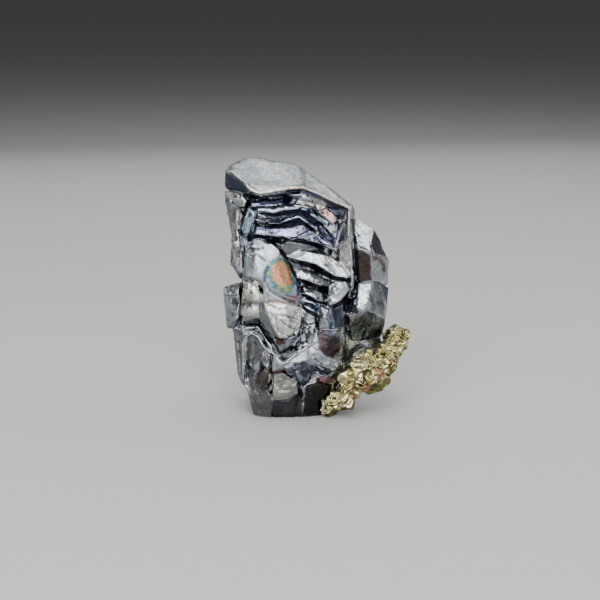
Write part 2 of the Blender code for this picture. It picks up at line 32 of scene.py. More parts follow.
# The photo's view: it looks down by VIEW_TILT from VIEW_DISTANCE away, level with SIGHT_HEIGHT.
VIEW_TILT = radians(14)
VIEW_DISTANCE = 148
SIGHT_HEIGHT = 12.41
PHOTO_SIZE = 600
FOCAL_PIXELS = 1290
SENSOR = 36

# How fine the two surfaces are, in mm and in triangles.
SURFACE_VOXEL = 0.085
GRAIN_VOXEL = 0.06
GALENA_TRIANGLES = 192000
CHALCOPYRITE_TRIANGLES = 120000

# How far behind the upright axis the front's wear, marks, and tarnish with its painted highlights and
# painted shade reach, in mm.
WEAR_DEPTH = -2.0
MARK_DEPTH = -0.4
TARNISH_AND_LIGHT_DEPTH = 3.4

# Large odd numbers that scramble the whole-numbered cells of the noise, and the bits that are kept.
SCRAMBLERS = (374761393, 668265263, 2147483647, 974634777)
LAST_SCRAMBLER = 1274126177
BITS = 0xFFFFFFFF


def seen(x, z, depth):
    """The point, in mm, seen x across and z up in the view, and depth behind the upright axis."""
    behind = depth - z * tan(VIEW_TILT)
    spread = 1 + behind / VIEW_DISTANCE
    up = SIGHT_HEIGHT + (z - SIGHT_HEIGHT) * spread
    along = behind * cos(VIEW_TILT) + up * sin(VIEW_TILT)
    height = up * cos(VIEW_TILT) - behind * sin(VIEW_TILT)
    return Vector((x * spread, along, height))


def in_view(points):
    """The inverse of seen for an array of points in mm: arrays of x, z and depth."""
    behind = points[:, 1] * cos(VIEW_TILT) - points[:, 2] * sin(VIEW_TILT)
    up = points[:, 1] * sin(VIEW_TILT) + points[:, 2] * cos(VIEW_TILT)
    spread = 1 + behind / VIEW_DISTANCE
    z = SIGHT_HEIGHT + (up - SIGHT_HEIGHT) / spread
    return points[:, 0] / spread, z, behind + z * tan(VIEW_TILT)


def rise(value, low, high):
    """0 below low, 1 above high, and a smooth rise between."""
    t = np.clip((value - low) / (high - low), 0, 1)
    return t * t * (3 - 2 * t)


def lattice(cells, seed):
    """A repeatable number from 0 to 1 for each whole-numbered cell."""
    parts = [*cells.astype(np.int64).T, seed]
    mixed = sum(part * scrambler for part, scrambler in zip(parts, SCRAMBLERS)) & BITS
    mixed = ((mixed ^ (mixed >> 13)) * LAST_SCRAMBLER) & BITS
    return ((mixed ^ (mixed >> 16)) & 0xFFFF) / 0xFFFF


def noise(points, size, seed):
    """Smooth noise from -1 to 1 whose bumps are size mm apart. Each seed gives its own pattern."""
    scaled = points / size
    cell = np.floor(scaled)
    part = scaled - cell
    part = part * part * (3 - 2 * part)
    total = np.zeros(len(points))
    for corner in range(8):
        step = np.array([corner >> k & 1 for k in range(3)])
        weight = np.prod(np.where(step, part, 1 - part), axis=1)
        total += weight * lattice(cell + step, seed)
    return 2 * total - 1


def line_distance(x, z, line):
    """How far each point of the view is from a line of (x, z) corners."""
    best = np.full(len(x), np.inf)
    for (ax, az), (bx, bz) in zip(line, line[1:]):
        dx, dz = bx - ax, bz - az
        t = np.clip(((x - ax) * dx + (z - az) * dz) / (dx * dx + dz * dz), 0, 1)
        best = np.minimum(best, np.hypot(x - ax - t * dx, z - az - t * dz))
    return best


def near_line(x, z, line, half_width, narrowed=1):
    """1 on the line, falling off smoothly to each side of it."""
    return np.exp(-((line_distance(x, z, line) / half_width * narrowed) ** 2))


def inside_distance(x, z, outline):
    """Distance to the outline, positive inside it and negative outside."""
    closed = [*outline, outline[0]]
    crossings = np.zeros(len(x), bool)
    for (ax, az), (bx, bz) in zip(closed, closed[1:]):
        if az == bz:
            continue
        spans = (az > z) != (bz > z)
        crossings ^= spans & (x < (bx - ax) * (z - az) / (bz - az) + ax)
    away = line_distance(x, z, closed)
    return np.where(crossings, away, -away)


def store(piece, name, values):
    """Keeps a value for each point, for the material to read."""
    stored = piece.data.attributes.new(name, "FLOAT", "POINT")
    stored.data.foreach_set("value", values)


def mesh_arrays(mesh):
    """The mesh's points and normals."""
    points = np.empty(len(mesh.vertices) * 3)
    mesh.vertices.foreach_get("co", points)
    normals = np.empty(len(mesh.vertices) * 3)
    mesh.vertices.foreach_get("normal", normals)
    return points.reshape(-1, 3), normals.reshape(-1, 3)


def push_out(piece, points, normals, heights):
    """Moves the points outwards by their heights, but never below the floor."""
    points += normals * heights[:, None]
    points[:, 2] = np.maximum(points[:, 2], 0)
    piece.data.vertices.foreach_set("co", points.ravel())
    piece.data.update()


def new_object(name, mesh):
    piece = bpy.data.objects.new(name, mesh)
    bpy.context.scene.collection.objects.link(piece)
    return piece


def solid_in_mm(frame, name):
    """A copy of the solid's mesh, in millimetres."""
    mesh = frame["nodes"][name].data.copy()
    mesh.transform(Matrix.Scale(1 / MM, 4))
    return mesh


def apply_modifiers(piece):
    """Gives the piece the mesh that its modifiers make of it."""
    graph = bpy.context.evaluated_depsgraph_get()
    mesh = bpy.data.meshes.new_from_object(piece.evaluated_get(graph))
    piece.modifiers.clear()
    piece.data = mesh


def remesh(piece, voxel):
    """Rebuilds the surface as one skin of small even faces."""
    modifier = piece.modifiers.new("remesh", "REMESH")
    modifier.mode = "VOXEL"
    modifier.voxel_size = voxel
    apply_modifiers(piece)


def smooth(piece, weights, rounds, levels=20):
    """Relaxes the surface where the weights, rounded to a number of levels, say so."""
    group = piece.vertex_groups.new(name="smooth")
    weight_levels = np.round(weights * levels).astype(int)
    for level in range(1, levels + 1):
        found = np.flatnonzero(weight_levels == level)
        if len(found):
            group.add(found.tolist(), level / levels, "REPLACE")
    modifier = piece.modifiers.new("smooth", "SMOOTH")
    modifier.factor = 0.5
    modifier.iterations = rounds
    modifier.vertex_group = "smooth"
    apply_modifiers(piece)
    piece.vertex_groups.clear()


def decimate(piece, triangles):
    """Thins the mesh out to the number of triangles."""
    count = sum(len(face.vertices) - 2 for face in piece.data.polygons)
    if count > triangles:
        modifier = piece.modifiers.new("decimate", "DECIMATE")
        modifier.ratio = triangles / count
        modifier.use_collapse_triangulate = True
        apply_modifiers(piece)


def drop_specks(piece):
    """Keeps only the largest connected surface of the piece."""
    bm = bmesh.new()
    bm.from_mesh(piece.data)
    left = set(bm.faces)
    largest = []
    while left:
        island = [left.pop()]
        for face in island:
            for edge in face.edges:
                for other in edge.link_faces if len(edge.link_faces) == 2 else ():
                    if other in left:
                        left.remove(other)
                        island.append(other)
        largest = max(largest, island, key=len)
    kept = set(largest)
    bmesh.ops.delete(bm, geom=[face for face in bm.faces if face not in kept], context="FACES")
    bm.to_mesh(piece.data)
    bm.free()


# Outlines and lines below are (x, z) corners in the view, in mm.
CAP = [
    (-8.1, 27.3), (-7.6, 28.2), (-5, 28.9), (-2, 28.2), (0.4, 27.4), (3, 25), (5.6, 23.3), (4, 23.8),
    (2, 24.75), (0.4, 25.45), (-1, 25.4), (-4.6, 24.75), (-5.6, 25.4), (-7, 26.3),
]
TONGUE = [
    (-6, 19), (-5, 19.5), (-4, 19.4), (-2.7, 18.3), (-1.6, 16.9), (-0.9, 15.2), (-0.2, 13.6),
    (-0.3, 12.2), (-3.3, 12.4), (-4.6, 12.8), (-6.3, 14.8), (-6.2, 17.5),
]
LOBES = [(-6.8, 14.7), (-4.9, 14.2), (-4.2, 13.3), (-4.6, 10.2), (-6.9, 10.2)]
CAP_RIM = [
    (-8.3, 27.2), (-7.7, 26.9), (-6.4, 25.9), (-5.6, 25), (-4.6, 24.65), (-1, 25.3), (0.4, 25.35),
    (2, 24.7), (3.9, 23.75), (5.7, 23),
]
RIGHT_RIM = [(5.75, 23), (5.6, 21), (5.6, 20), (5.8, 19.2), (5.9, 17), (6.1, 16), (6, 15.2), (5.9, 14.2)]
PATCH_EDGE = [
    (-3.7, 16.2), (-4.05, 15.4), (-4.1, 14.5), (-3.5, 13.4), (-2.2, 12.75), (-1.2, 12.35), (-0.5, 12.2),
]
LOW_BRIGHT_FACE = [
    (6.8, 14.3), (8.2, 14.4), (8.1, 13.3), (7.9, 12.2), (7.3, 11), (6.6, 11.2), (6.1, 12.2),
]
LOW_DARK_FACE = [
    (7.7, 11.1), (9.8, 10.3), (9.6, 9.4), (9.3, 8.3), (8, 7.9), (6, 7.8), (5.8, 8.8), (6.3, 9.9),
]
FLANK = [(-7.6, 8.8), (-4.9, 8.3), (-3.4, 5.4), (-3.6, 0.5), (-6.6, 1.6)]
CRUMPLED = [(0.6, 9.6), (2, 9.6), (2.1, 7.4), (1, 7.2)]

# The worn parts with how calm they are, and the heights in the view where the cap's wear starts.
WORN_PARTS = ((CAP, 1), (TONGUE, 1), (LOBES, 0.7))
CAP_START = (25.5, 26.5)

# Raised and sunk lines: line, half width and height, in mm. A sunk line's height is below zero. Raised
# lines are also painted with a highlight and sunk lines with painted shade.
LINES = [
    # The rims, the edge of the tongue's patch and the lines on the tongue
    (CAP_RIM, 0.2, 0.14),
    (RIGHT_RIM, 0.19, 0.18),
    (PATCH_EDGE, 0.11, -0.2),
    ([(-6.1, 18.55), (-5.5, 18.3), (-4.8, 18.3)], 0.11, -0.28),
    ([(-6, 17.6), (-4.9, 17.6), (-4.1, 16.95)], 0.1, -0.2),
    ([(-6.2, 14.95), (-5.2, 14.7), (-4.6, 14.3), (-4.2, 13.9)], 0.2, -0.12),
    ([(-1.5, 12.95), (-0.9, 12.75), (-0.35, 12.6)], 0.08, -0.12),
    # The leaf's and the V's ridges
    ([(-6.15, 8.2), (-5.45, 8.65), (-4.8, 8.15), (-4.2, 7.1), (-3.5, 6.4), (-2.8, 6.15), (-1.75, 5.15)],
     0.1, 0.2),
    ([(-4.4, 8.7), (-3.5, 7.3), (-3, 6.4)], 0.08, 0.18),
    ([(-1.75, 5.15), (-0.7, 6), (0.05, 6.55), (0.9, 7.1)], 0.13, 0.2),
    # The knob's folds
    ([(-2.45, 10.55), (-1.2, 10.55), (-0.25, 10.2)], 0.11, -0.12),
    ([(-0.7, 11.35), (-0.15, 10.5)], 0.09, -0.1),
    ([(-2.2, 10.1), (-1.55, 9.4), (-0.7, 9.05), (0.2, 9.4)], 0.12, -0.14),
    ([(-1.2, 10.5), (-0.75, 9.9), (-1.2, 9.4)], 0.1, -0.12),
    ([(-3, 10.3), (-2.45, 8.7), (-1.2, 8.2)], 0.1, -0.12),
    ([(-3.6, 11.8), (-2.4, 11.3), (-1.4, 11.5)], 0.09, -0.1),
    # The rest of the front
    ([(-5.6, 5.9), (-5.5, 3.8)], 0.08, -0.12),
    ([(-3.4, 4), (-3.55, 2.7)], 0.07, 0.12),
    ([(3.1, 17.8), (3.8, 17.1), (4.4, 16.3)], 0.09, 0.25),
    ([(-7.25, 8.2), (-7, 6), (-6.9, 4.2)], 0.08, 0.12),
    ([(-6.3, 8.4), (-6.25, 6), (-6.2, 3)], 0.07, 0.12),
    ([(-6.6, 7.4), (-6.5, 5.5), (-6.5, 3.4)], 0.1, 0.15),
    ([(-6.1, 7.2), (-6.1, 3.4)], 0.12, -0.2),
    ([(-7.3, 22.5), (-7.2, 20.5), (-7.3, 18.5), (-7.2, 16.5)], 0.12, 0.15),
    ([(-8, 24.9), (-7.2, 24.6), (-6.6, 24.2)], 0.12, 0.15),
    ([(-6.3, 9.2), (-5.2, 9.3)], 0.1, 0.2),
    ([(-6.7, 9.7), (-4.7, 9.7), (-3.9, 8.6)], 0.16, -0.3),
    ([(-6.8, 11.9), (-5.6, 12.1), (-4.6, 11.8)], 0.22, -0.14),
    ([(-6.8, 11), (-6, 11.3), (-4.9, 11.1)], 0.3, 0.12),
    ([(-6.3, 13.7), (-5.4, 13.4)], 0.6, 0.1),
    ([(2, 11.8), (2.1, 9.2)], 0.1, -0.2),
    ([(3.4, 11.4), (3.4, 9.2)], 0.08, -0.15),
    ([(-3.2, 3.9), (-3.2, 1.2)], 0.1, -0.2),
]

# Deep gaps between the ribs, plates and crystals, which are also painted with shadow: line, half width and
# depth, in mm.
CREVICES = [
    ([(-5.5, 24.3), (-4.4, 24.15), (-3, 24.35), (-1.4, 24.6), (-0.2, 24.75)], 0.2, 0.4),
    ([(-4.4, 22.5), (-3, 22.15), (-1, 22.5), (-0.2, 22.5), (0.5, 22.3), (1.3, 21.8), (2.2, 21.1)],
     0.18, 0.3),
    ([(-3.7, 20.95), (-1, 20.95), (-0.1, 21.6), (0.6, 21.1), (1.8, 20.2)], 0.15, 0.3),
    ([(-5.6, 19.9), (-4, 19.65), (-2, 19.4), (0, 19.15), (1, 18.95), (2.8, 18.35)], 0.18, 0.35),
    ([(-3.3, 19.2), (-2.5, 18.45), (-1.75, 17.5), (-1.15, 16.5), (-0.65, 15.3), (-0.1, 14.4),
      (0.35, 13.3)], 0.17, 0.35),
    ([(-1.1, 17), (0.5, 16.5), (1.5, 16.25), (2.5, 15.65), (3.7, 15), (5, 14.7), (5.7, 14.6)],
     0.17, 0.35),
    ([(-0.5, 15), (0.5, 14.55), (2, 14), (3.2, 13.75)], 0.15, 0.3),
    ([(0.2, 13.2), (1, 12.8), (2, 12.15), (3, 11.95)], 0.15, 0.3),
    ([(0.4, 11.5), (1.2, 10.9), (2.1, 10.4)], 0.13, 0.25),
    ([(-5.8, 23.9), (-6.3, 22.2), (-6.7, 20.8)], 0.15, 0.3),
    ([(-6.7, 9.6), (-5, 9.7), (-4.5, 9.5), (-4, 8.6), (-3.2, 7.5)], 0.16, 0.3),
    ([(6.1, 21.4), (6.3, 18.4), (6.35, 16), (6.3, 14.4), (6.1, 12.8)], 0.2, 0.4),
    ([(5.2, 10.2), (5.2, 7), (5, 5.6)], 0.2, 0.4),
    ([(1.9, 11.6), (1.9, 10), (2.05, 9)], 0.13, 0.3),
    ([(-6.9, 14.9), (-6.75, 12.2), (-7, 10)], 0.15, 0.3),
    ([(0.4, 9.8), (0.2, 8.6), (-0.6, 7.8), (-1, 6.8)], 0.14, 0.3),
    ([(-3.3, 6.2), (-3.4, 4.8), (-3.3, 4)], 0.12, 0.25),
    ([(1.5, 4.6), (2.4, 4.1), (3.4, 3.9)], 0.12, 0.2),
    ([(-0.2, 2.7), (0.1, 1.6), (0.3, 0.6)], 0.12, 0.25),
]

# Pits and knobs: place, radius and height, in mm.
SPOTS = [
    ((4.8, 21.5), 0.24, -0.5),
    ((4.3, 13.5), 0.28, -0.45),
    ((-6.8, 12.8), 0.25, -0.35),
    ((-6.5, 13.5), 0.16, -0.2),
    ((-6.1, 2.75), 0.16, -0.4),
    ((-5.7, 2.3), 0.16, -0.5),
    ((-5.7, 25.45), 0.12, -0.2),
    ((-5.25, 25.3), 0.1, -0.2),
    ((-4.3, 18.4), 0.14, -0.3),
    ((0.6, 6.9), 0.5, 0.12),
    ((4.2, 4.9), 0.3, 0.15),
    ((-8.2, 22.4), 0.25, 0.2),
    ((-7.3, 19), 0.2, 0.2),
    ((-7.6, 16.6), 0.3, 0.2),
    ((-7.1, 11.2), 0.25, 0.2),
    ((-6.6, 24.5), 0.15, 0.15),
    ((-4, 2.4), 0.25, 0.15),
    ((-4.55, 13.85), 0.35, 0.22),
]


def front_weight(points, normals, depth_limit, fade=0.15):
    """1 on the surface that faces the viewer and lies in front of depth_limit, fading to 0."""
    _, _, depth = in_view(points)
    facing = -(normals[:, 1] * cos(VIEW_TILT) - normals[:, 2] * sin(VIEW_TILT))
    return rise(facing, -0.05, 0.25) * rise(-depth, -depth_limit - fade, -depth_limit + fade)


def marks(x, z):
    """The raised and sunk lines and spots of the front, in mm."""
    height = np.zeros(len(x))
    for line, half_width, rise_by in LINES:
        height += rise_by * near_line(x, z, line, half_width)
    for (px, pz), radius, rise_by in SPOTS:
        height += rise_by * np.exp(-(((x - px) ** 2 + (z - pz) ** 2) / radius**2) ** 2)
    return height


# Growth lines: the level and the upright ones' spacing, their lean, and the streaks' fan: its middle and
# how many radians of wave it has to the radian.
LEVEL_SPACING = 0.3
UPRIGHT_SPACING = 0.55
LINE_LEAN = 0.12
FAN_MIDDLE = (7.9, 11.3)
FAN_WAVES = 22


def growth_lines(points, x, z):
    """Fine growth lines and crumples on some faces, in mm."""
    wave = 0.5 * noise(points, 0.8, 51)
    level_lines = np.sin(2 * pi * (z + LINE_LEAN * x + wave) / LEVEL_SPACING)
    upright_lines = np.sin(2 * pi * (x + LINE_LEAN * z + 1.5 * wave) / UPRIGHT_SPACING)
    fan_angle = np.arctan2(x - FAN_MIDDLE[0], FAN_MIDDLE[1] - z)
    streaks = np.sin(fan_angle * FAN_WAVES + 3 * noise(points, 0.7, 52))
    crumples = noise(points * (1, 1, 2), 0.45, 53)
    # Each pattern has its outline, the width of its fading edge and its height, in mm.
    patterns = [
        (level_lines, LOW_BRIGHT_FACE, 0.2, 0.012),
        (streaks, LOW_DARK_FACE, 0.2, 0.045),
        (crumples, CRUMPLED, 0.3, 0.1),
        (upright_lines, FLANK, 0.3, 0.022),
    ]
    height = np.zeros(len(x))
    for pattern, outline, edge, reach in patterns:
        height += reach * (rise(inside_distance(x, z, outline), 0, edge) * pattern)
    for outline, reach, size in CREASES:
        inside = rise(inside_distance(x, z, outline), -0.1, 0.2)
        fold = noise(points, size, 61) - 0.9 * np.abs(noise(points, size * 0.55, 62))
        height += reach * inside * fold
    return height


def gaps(x, z):
    """How near the middle of a crevice each point of the view lies, from 0 to 1, which sets the painted
    shadow, and the hollow in mm.
    """
    shadow = np.zeros(len(x))
    hollow = np.zeros(len(x))
    for line, half_width, depth in CREVICES:
        inside = near_line(x, z, line, half_width)
        shadow = np.maximum(shadow, inside)
        hollow = np.maximum(hollow, depth * inside)
    return shadow, hollow


def terraces(points, size, seed, layers=3.5):
    """Flat growth layers with narrow edges, like contour lines, from -1 to 1."""
    level = layers * noise(points, size, seed)
    part = level - np.floor(level)
    return (np.floor(level) + rise(part, 0.35, 0.65)) / layers


# The back's crystals: their turn in degrees, and their steps' spacings and height in mm.
BACK_TURN = (12, -18, 24)
STEP_SPACINGS = (2.1, 2.9, 2.5)
STEP_HEIGHT = 0.06


def growth_steps(points):
    """Low straight steps across the faces of the back, along the axes of its crystals, in mm."""
    height = np.zeros(len(points))
    axes = Euler([radians(angle) for angle in BACK_TURN]).to_matrix()
    for axis, spacing in zip(axes, STEP_SPACINGS):
        level = points @ np.array(axis) / spacing + 0.35 * noise(points, 3.0, 71)
        part = level - np.floor(level)
        height += STEP_HEIGHT * (part - rise(part, 0.7, 0.95))
    return height


def natural_relief(points, calm):
    """Swellings, growth layers and creases of a grown surface, in mm, weaker where calm nears 1."""
    relief = (1 - 0.45 * calm) * (0.06 * noise(points, 1.7, 1) + 0.045 * noise(points, 0.8, 2))
    relief += (1 - 0.8 * calm) * 0.09 * terraces(points, 2.6, 3) + 0.02 * noise(points, 0.4, 4)
    creases = 0.06 * np.abs(noise(points, 0.9, 5)) + 0.03 * np.abs(noise(points, 0.45, 6))
    return relief - (1 - 0.85 * calm) * creases


def shape_galena(frame):
    """The galena's surface: the solid's faces, worn round, swollen, lined and pitted."""
    piece = new_object("galena_crystal", solid_in_mm(frame, "galena"))
    remesh(piece, SURFACE_VOXEL)
    points, normals = mesh_arrays(piece.data)
    x, z, _ = in_view(points)
    worn = np.zeros(len(points))
    for outline, calmness in WORN_PARTS:
        worn = np.maximum(worn, calmness * rise(inside_distance(x, z, outline), 0.0, 0.5))
    worn_cap = rise(z, *CAP_START)
    front = front_weight(points, normals, WEAR_DEPTH)
    smooth(piece, np.maximum(worn * front, worn_cap * 0.9), rounds=250)
    smooth(piece, np.ones(len(points)), rounds=3)
    points, normals = mesh_arrays(piece.data)
    x, z, _ = in_view(points)
    front = front_weight(points, normals, MARK_DEPTH)
    calm = np.maximum(worn * front, worn_cap)
    relief = natural_relief(points, calm)
    relief = relief * (0.35 + 0.65 * front) + (1 - front) * (1 - calm) * growth_steps(points)
    near = front > 0
    across, up = x[near], z[near]
    drawn = marks(across, up) + growth_lines(points[near], across, up) + facet_shift(across, up)
    relief[near] += front[near] * (drawn - gaps(across, up)[1])
    push_out(piece, points, normals, relief)
    smooth(piece, np.ones(len(points)), rounds=1)
    decimate(piece, GALENA_TRIANGLES)
    drop_specks(piece)
    return piece


# The bar: its outline in the view, the depth of its middle by x, and its coppery spots with their radii.
BAR = [
    (2.6, -0.3), (2.9, 1), (3.3, 1.9), (4.6, 2.3), (5.2, 3.6), (6, 4.9), (6.8, 6), (7.2, 6.6), (8.2, 6.2),
    (8.8, 5.8), (9.5, 6.3), (9.7, 7.8), (10.5, 8.9), (12, 9.1), (12.3, 8.6), (11.9, 7), (11.3, 5.3),
    (10.2, 4.2), (9.5, 3.2), (8.3, 2.9), (7.9, 2.3), (7, 1.9), (6.2, 1.1), (4.9, 0.2), (4, -0.3),
]
BAR_DEPTHS = [(3.3, -2.6), (5.7, -2.5), (6.9, -2.3), (8.2, -1.9), (9.3, -1.5), (10.5, -0.9), (11.5, -0.6)]
COPPER_SPOTS = [
    ((7.6, 2.4), 0.5), ((9.4, 3.9), 0.55), ((8.9, 4.4), 0.35), ((6.2, 1.3), 0.3), ((10.6, 5.4), 0.3),
]

# The crystals tried inside the bar and where in the view, those set on its faces, and how much of an edge
# a crystal's cut corner takes.
INNER_TRIES = 2600
BAR_ACROSS = (2.5, 12.4)
BAR_UP = (-0.4, 9.2)
SURFACE_CRYSTALS = 320
CORNER_CUT = 0.22
SEED = 11


def jagged_crystal(middle, size, rng):
    """The hull of a wedge of a crystal: a stretched tetrahedron with its corners cut off."""
    turn = Euler([rng.uniform(0, 2 * pi) for _ in range(3)]).to_matrix()
    stretch = [rng.uniform(0.7, 1.2), rng.uniform(0.7, 1.2), rng.uniform(0.5, 0.9)]
    corners = [(1, 1, 1), (1, -1, -1), (-1, 1, -1), (-1, -1, 1)]
    points = []
    for first, second in permutations(corners, 2):
        ends = zip(first, second, stretch)
        place = [((1 - CORNER_CUT) * a + CORNER_CUT * b) * k * size / 2 for a, b, k in ends]
        points.append(middle + turn @ Vector(place))
    low = min(point.z for point in points)
    return [point - Vector((0, 0, min(low, 0))) for point in points]


def add_hull(bm, points):
    """Adds the hull of the points to the mesh."""
    verts = [bm.verts.new(point) for point in points]
    hull = bmesh.ops.convex_hull(bm, input=verts)
    spare = [v for v in hull["geom_interior"] + hull["geom_unused"] if isinstance(v, bmesh.types.BMVert)]
    bmesh.ops.delete(bm, geom=list(set(spare)), context="VERTS")


def fill_bar(bm, rng):
    """Crowds the inside of the bar's outline with crystals, smaller ones near its edge."""
    tries = np.array([[rng.uniform(*BAR_ACROSS), rng.uniform(*BAR_UP)] for _ in range(INNER_TRIES)])
    room = inside_distance(tries[:, 0], tries[:, 1], BAR)
    depths = np.interp(tries[:, 0], [x for x, _ in BAR_DEPTHS], [depth for _, depth in BAR_DEPTHS])
    for (x, z), free, depth in zip(tries, room, depths):
        size = min(rng.uniform(0.7, 1.5), 2.2 * free)
        if size > 0.45:
            reach = min(1.2, 0.5 + free)
            middle = seen(x, z, depth - reach * rng.uniform(-1, 1) + 0.1)
            add_hull(bm, jagged_crystal(middle, size, rng))


def cover_bar(bm, mesh, rng):
    """Sets crystals at random places on the mesh's faces, within the bar's outline."""
    faces = list(mesh.polygons)
    for face in rng.choices(faces, [face.area for face in faces], k=SURFACE_CRYSTALS):
        corners = [mesh.vertices[index].co for index in face.vertices]
        shares = [rng.uniform(0.05, 1) for _ in corners]
        middle = sum((share * corner for share, corner in zip(shares, corners)), Vector()) / sum(shares)
        x, z, _ = in_view(np.array([middle]))
        if inside_distance(x, z, BAR)[0] > 0.15:
            add_hull(bm, jagged_crystal(middle, rng.uniform(0.5, 1.1), rng))


def shape_chalcopyrite(frame):
    """The bar: a crowd of small jagged crystals over the solid's grains, creased all over."""
    rng = random.Random(SEED)
    mesh = solid_in_mm(frame, "chalcopyrite")
    bm = bmesh.new()
    bm.from_mesh(mesh)
    fill_bar(bm, rng)
    cover_bar(bm, mesh, rng)
    bmesh.ops.recalc_face_normals(bm, faces=bm.faces)
    bm.to_mesh(mesh)
    bm.free()
    piece = new_object("chalcopyrite_bar", mesh)
    remesh(piece, GRAIN_VOXEL)
    smooth(piece, np.ones(len(piece.data.vertices)), rounds=1)
    points, normals = mesh_arrays(piece.data)
    creases = 0.07 * np.abs(noise(points, 0.7, 41)) + 0.05 * np.abs(noise(points, 0.36, 42))
    push_out(piece, points, normals, 0.05 - creases)
    decimate(piece, CHALCOPYRITE_TRIANGLES)
    drop_specks(piece)
    return piece


def paint_copper(piece):
    """Stores how coppery each point of the bar is."""
    points, _ = mesh_arrays(piece.data)
    x, z, _ = in_view(points)
    copper = np.zeros(len(points))
    for (px, pz), radius in COPPER_SPOTS:
        away = np.hypot(x - px, z - pz) + 0.2 * noise(points, 0.4, 43)
        copper = np.maximum(copper, rise(-away, -radius - 0.1, -radius + 0.15))
    store(piece, "copper", copper)


# The silver is a painted highlight for facets that catch the light.
HIGHLIGHT_SILVER = (0.82, 0.83, 0.85)
PALE = (0.6, 0.62, 0.62)
ASH = (0.34, 0.35, 0.36)
CREAM = (0.78, 0.76, 0.7)
SLATE = (0.11, 0.13, 0.18)
# Painted shade for the sunk lines and the dark band over the V's ridge.
SHADE_BLACK = (0.07, 0.075, 0.085)
BROWN = (0.18, 0.14, 0.12)
PINK = (0.8, 0.54, 0.46)
# Painted highlight for the raised lines.
RIDGE_HIGHLIGHT = (0.88, 0.86, 0.78)
DEEP_BLUE = (0.1, 0.14, 0.22)
CYAN = (0.5, 0.68, 0.78)
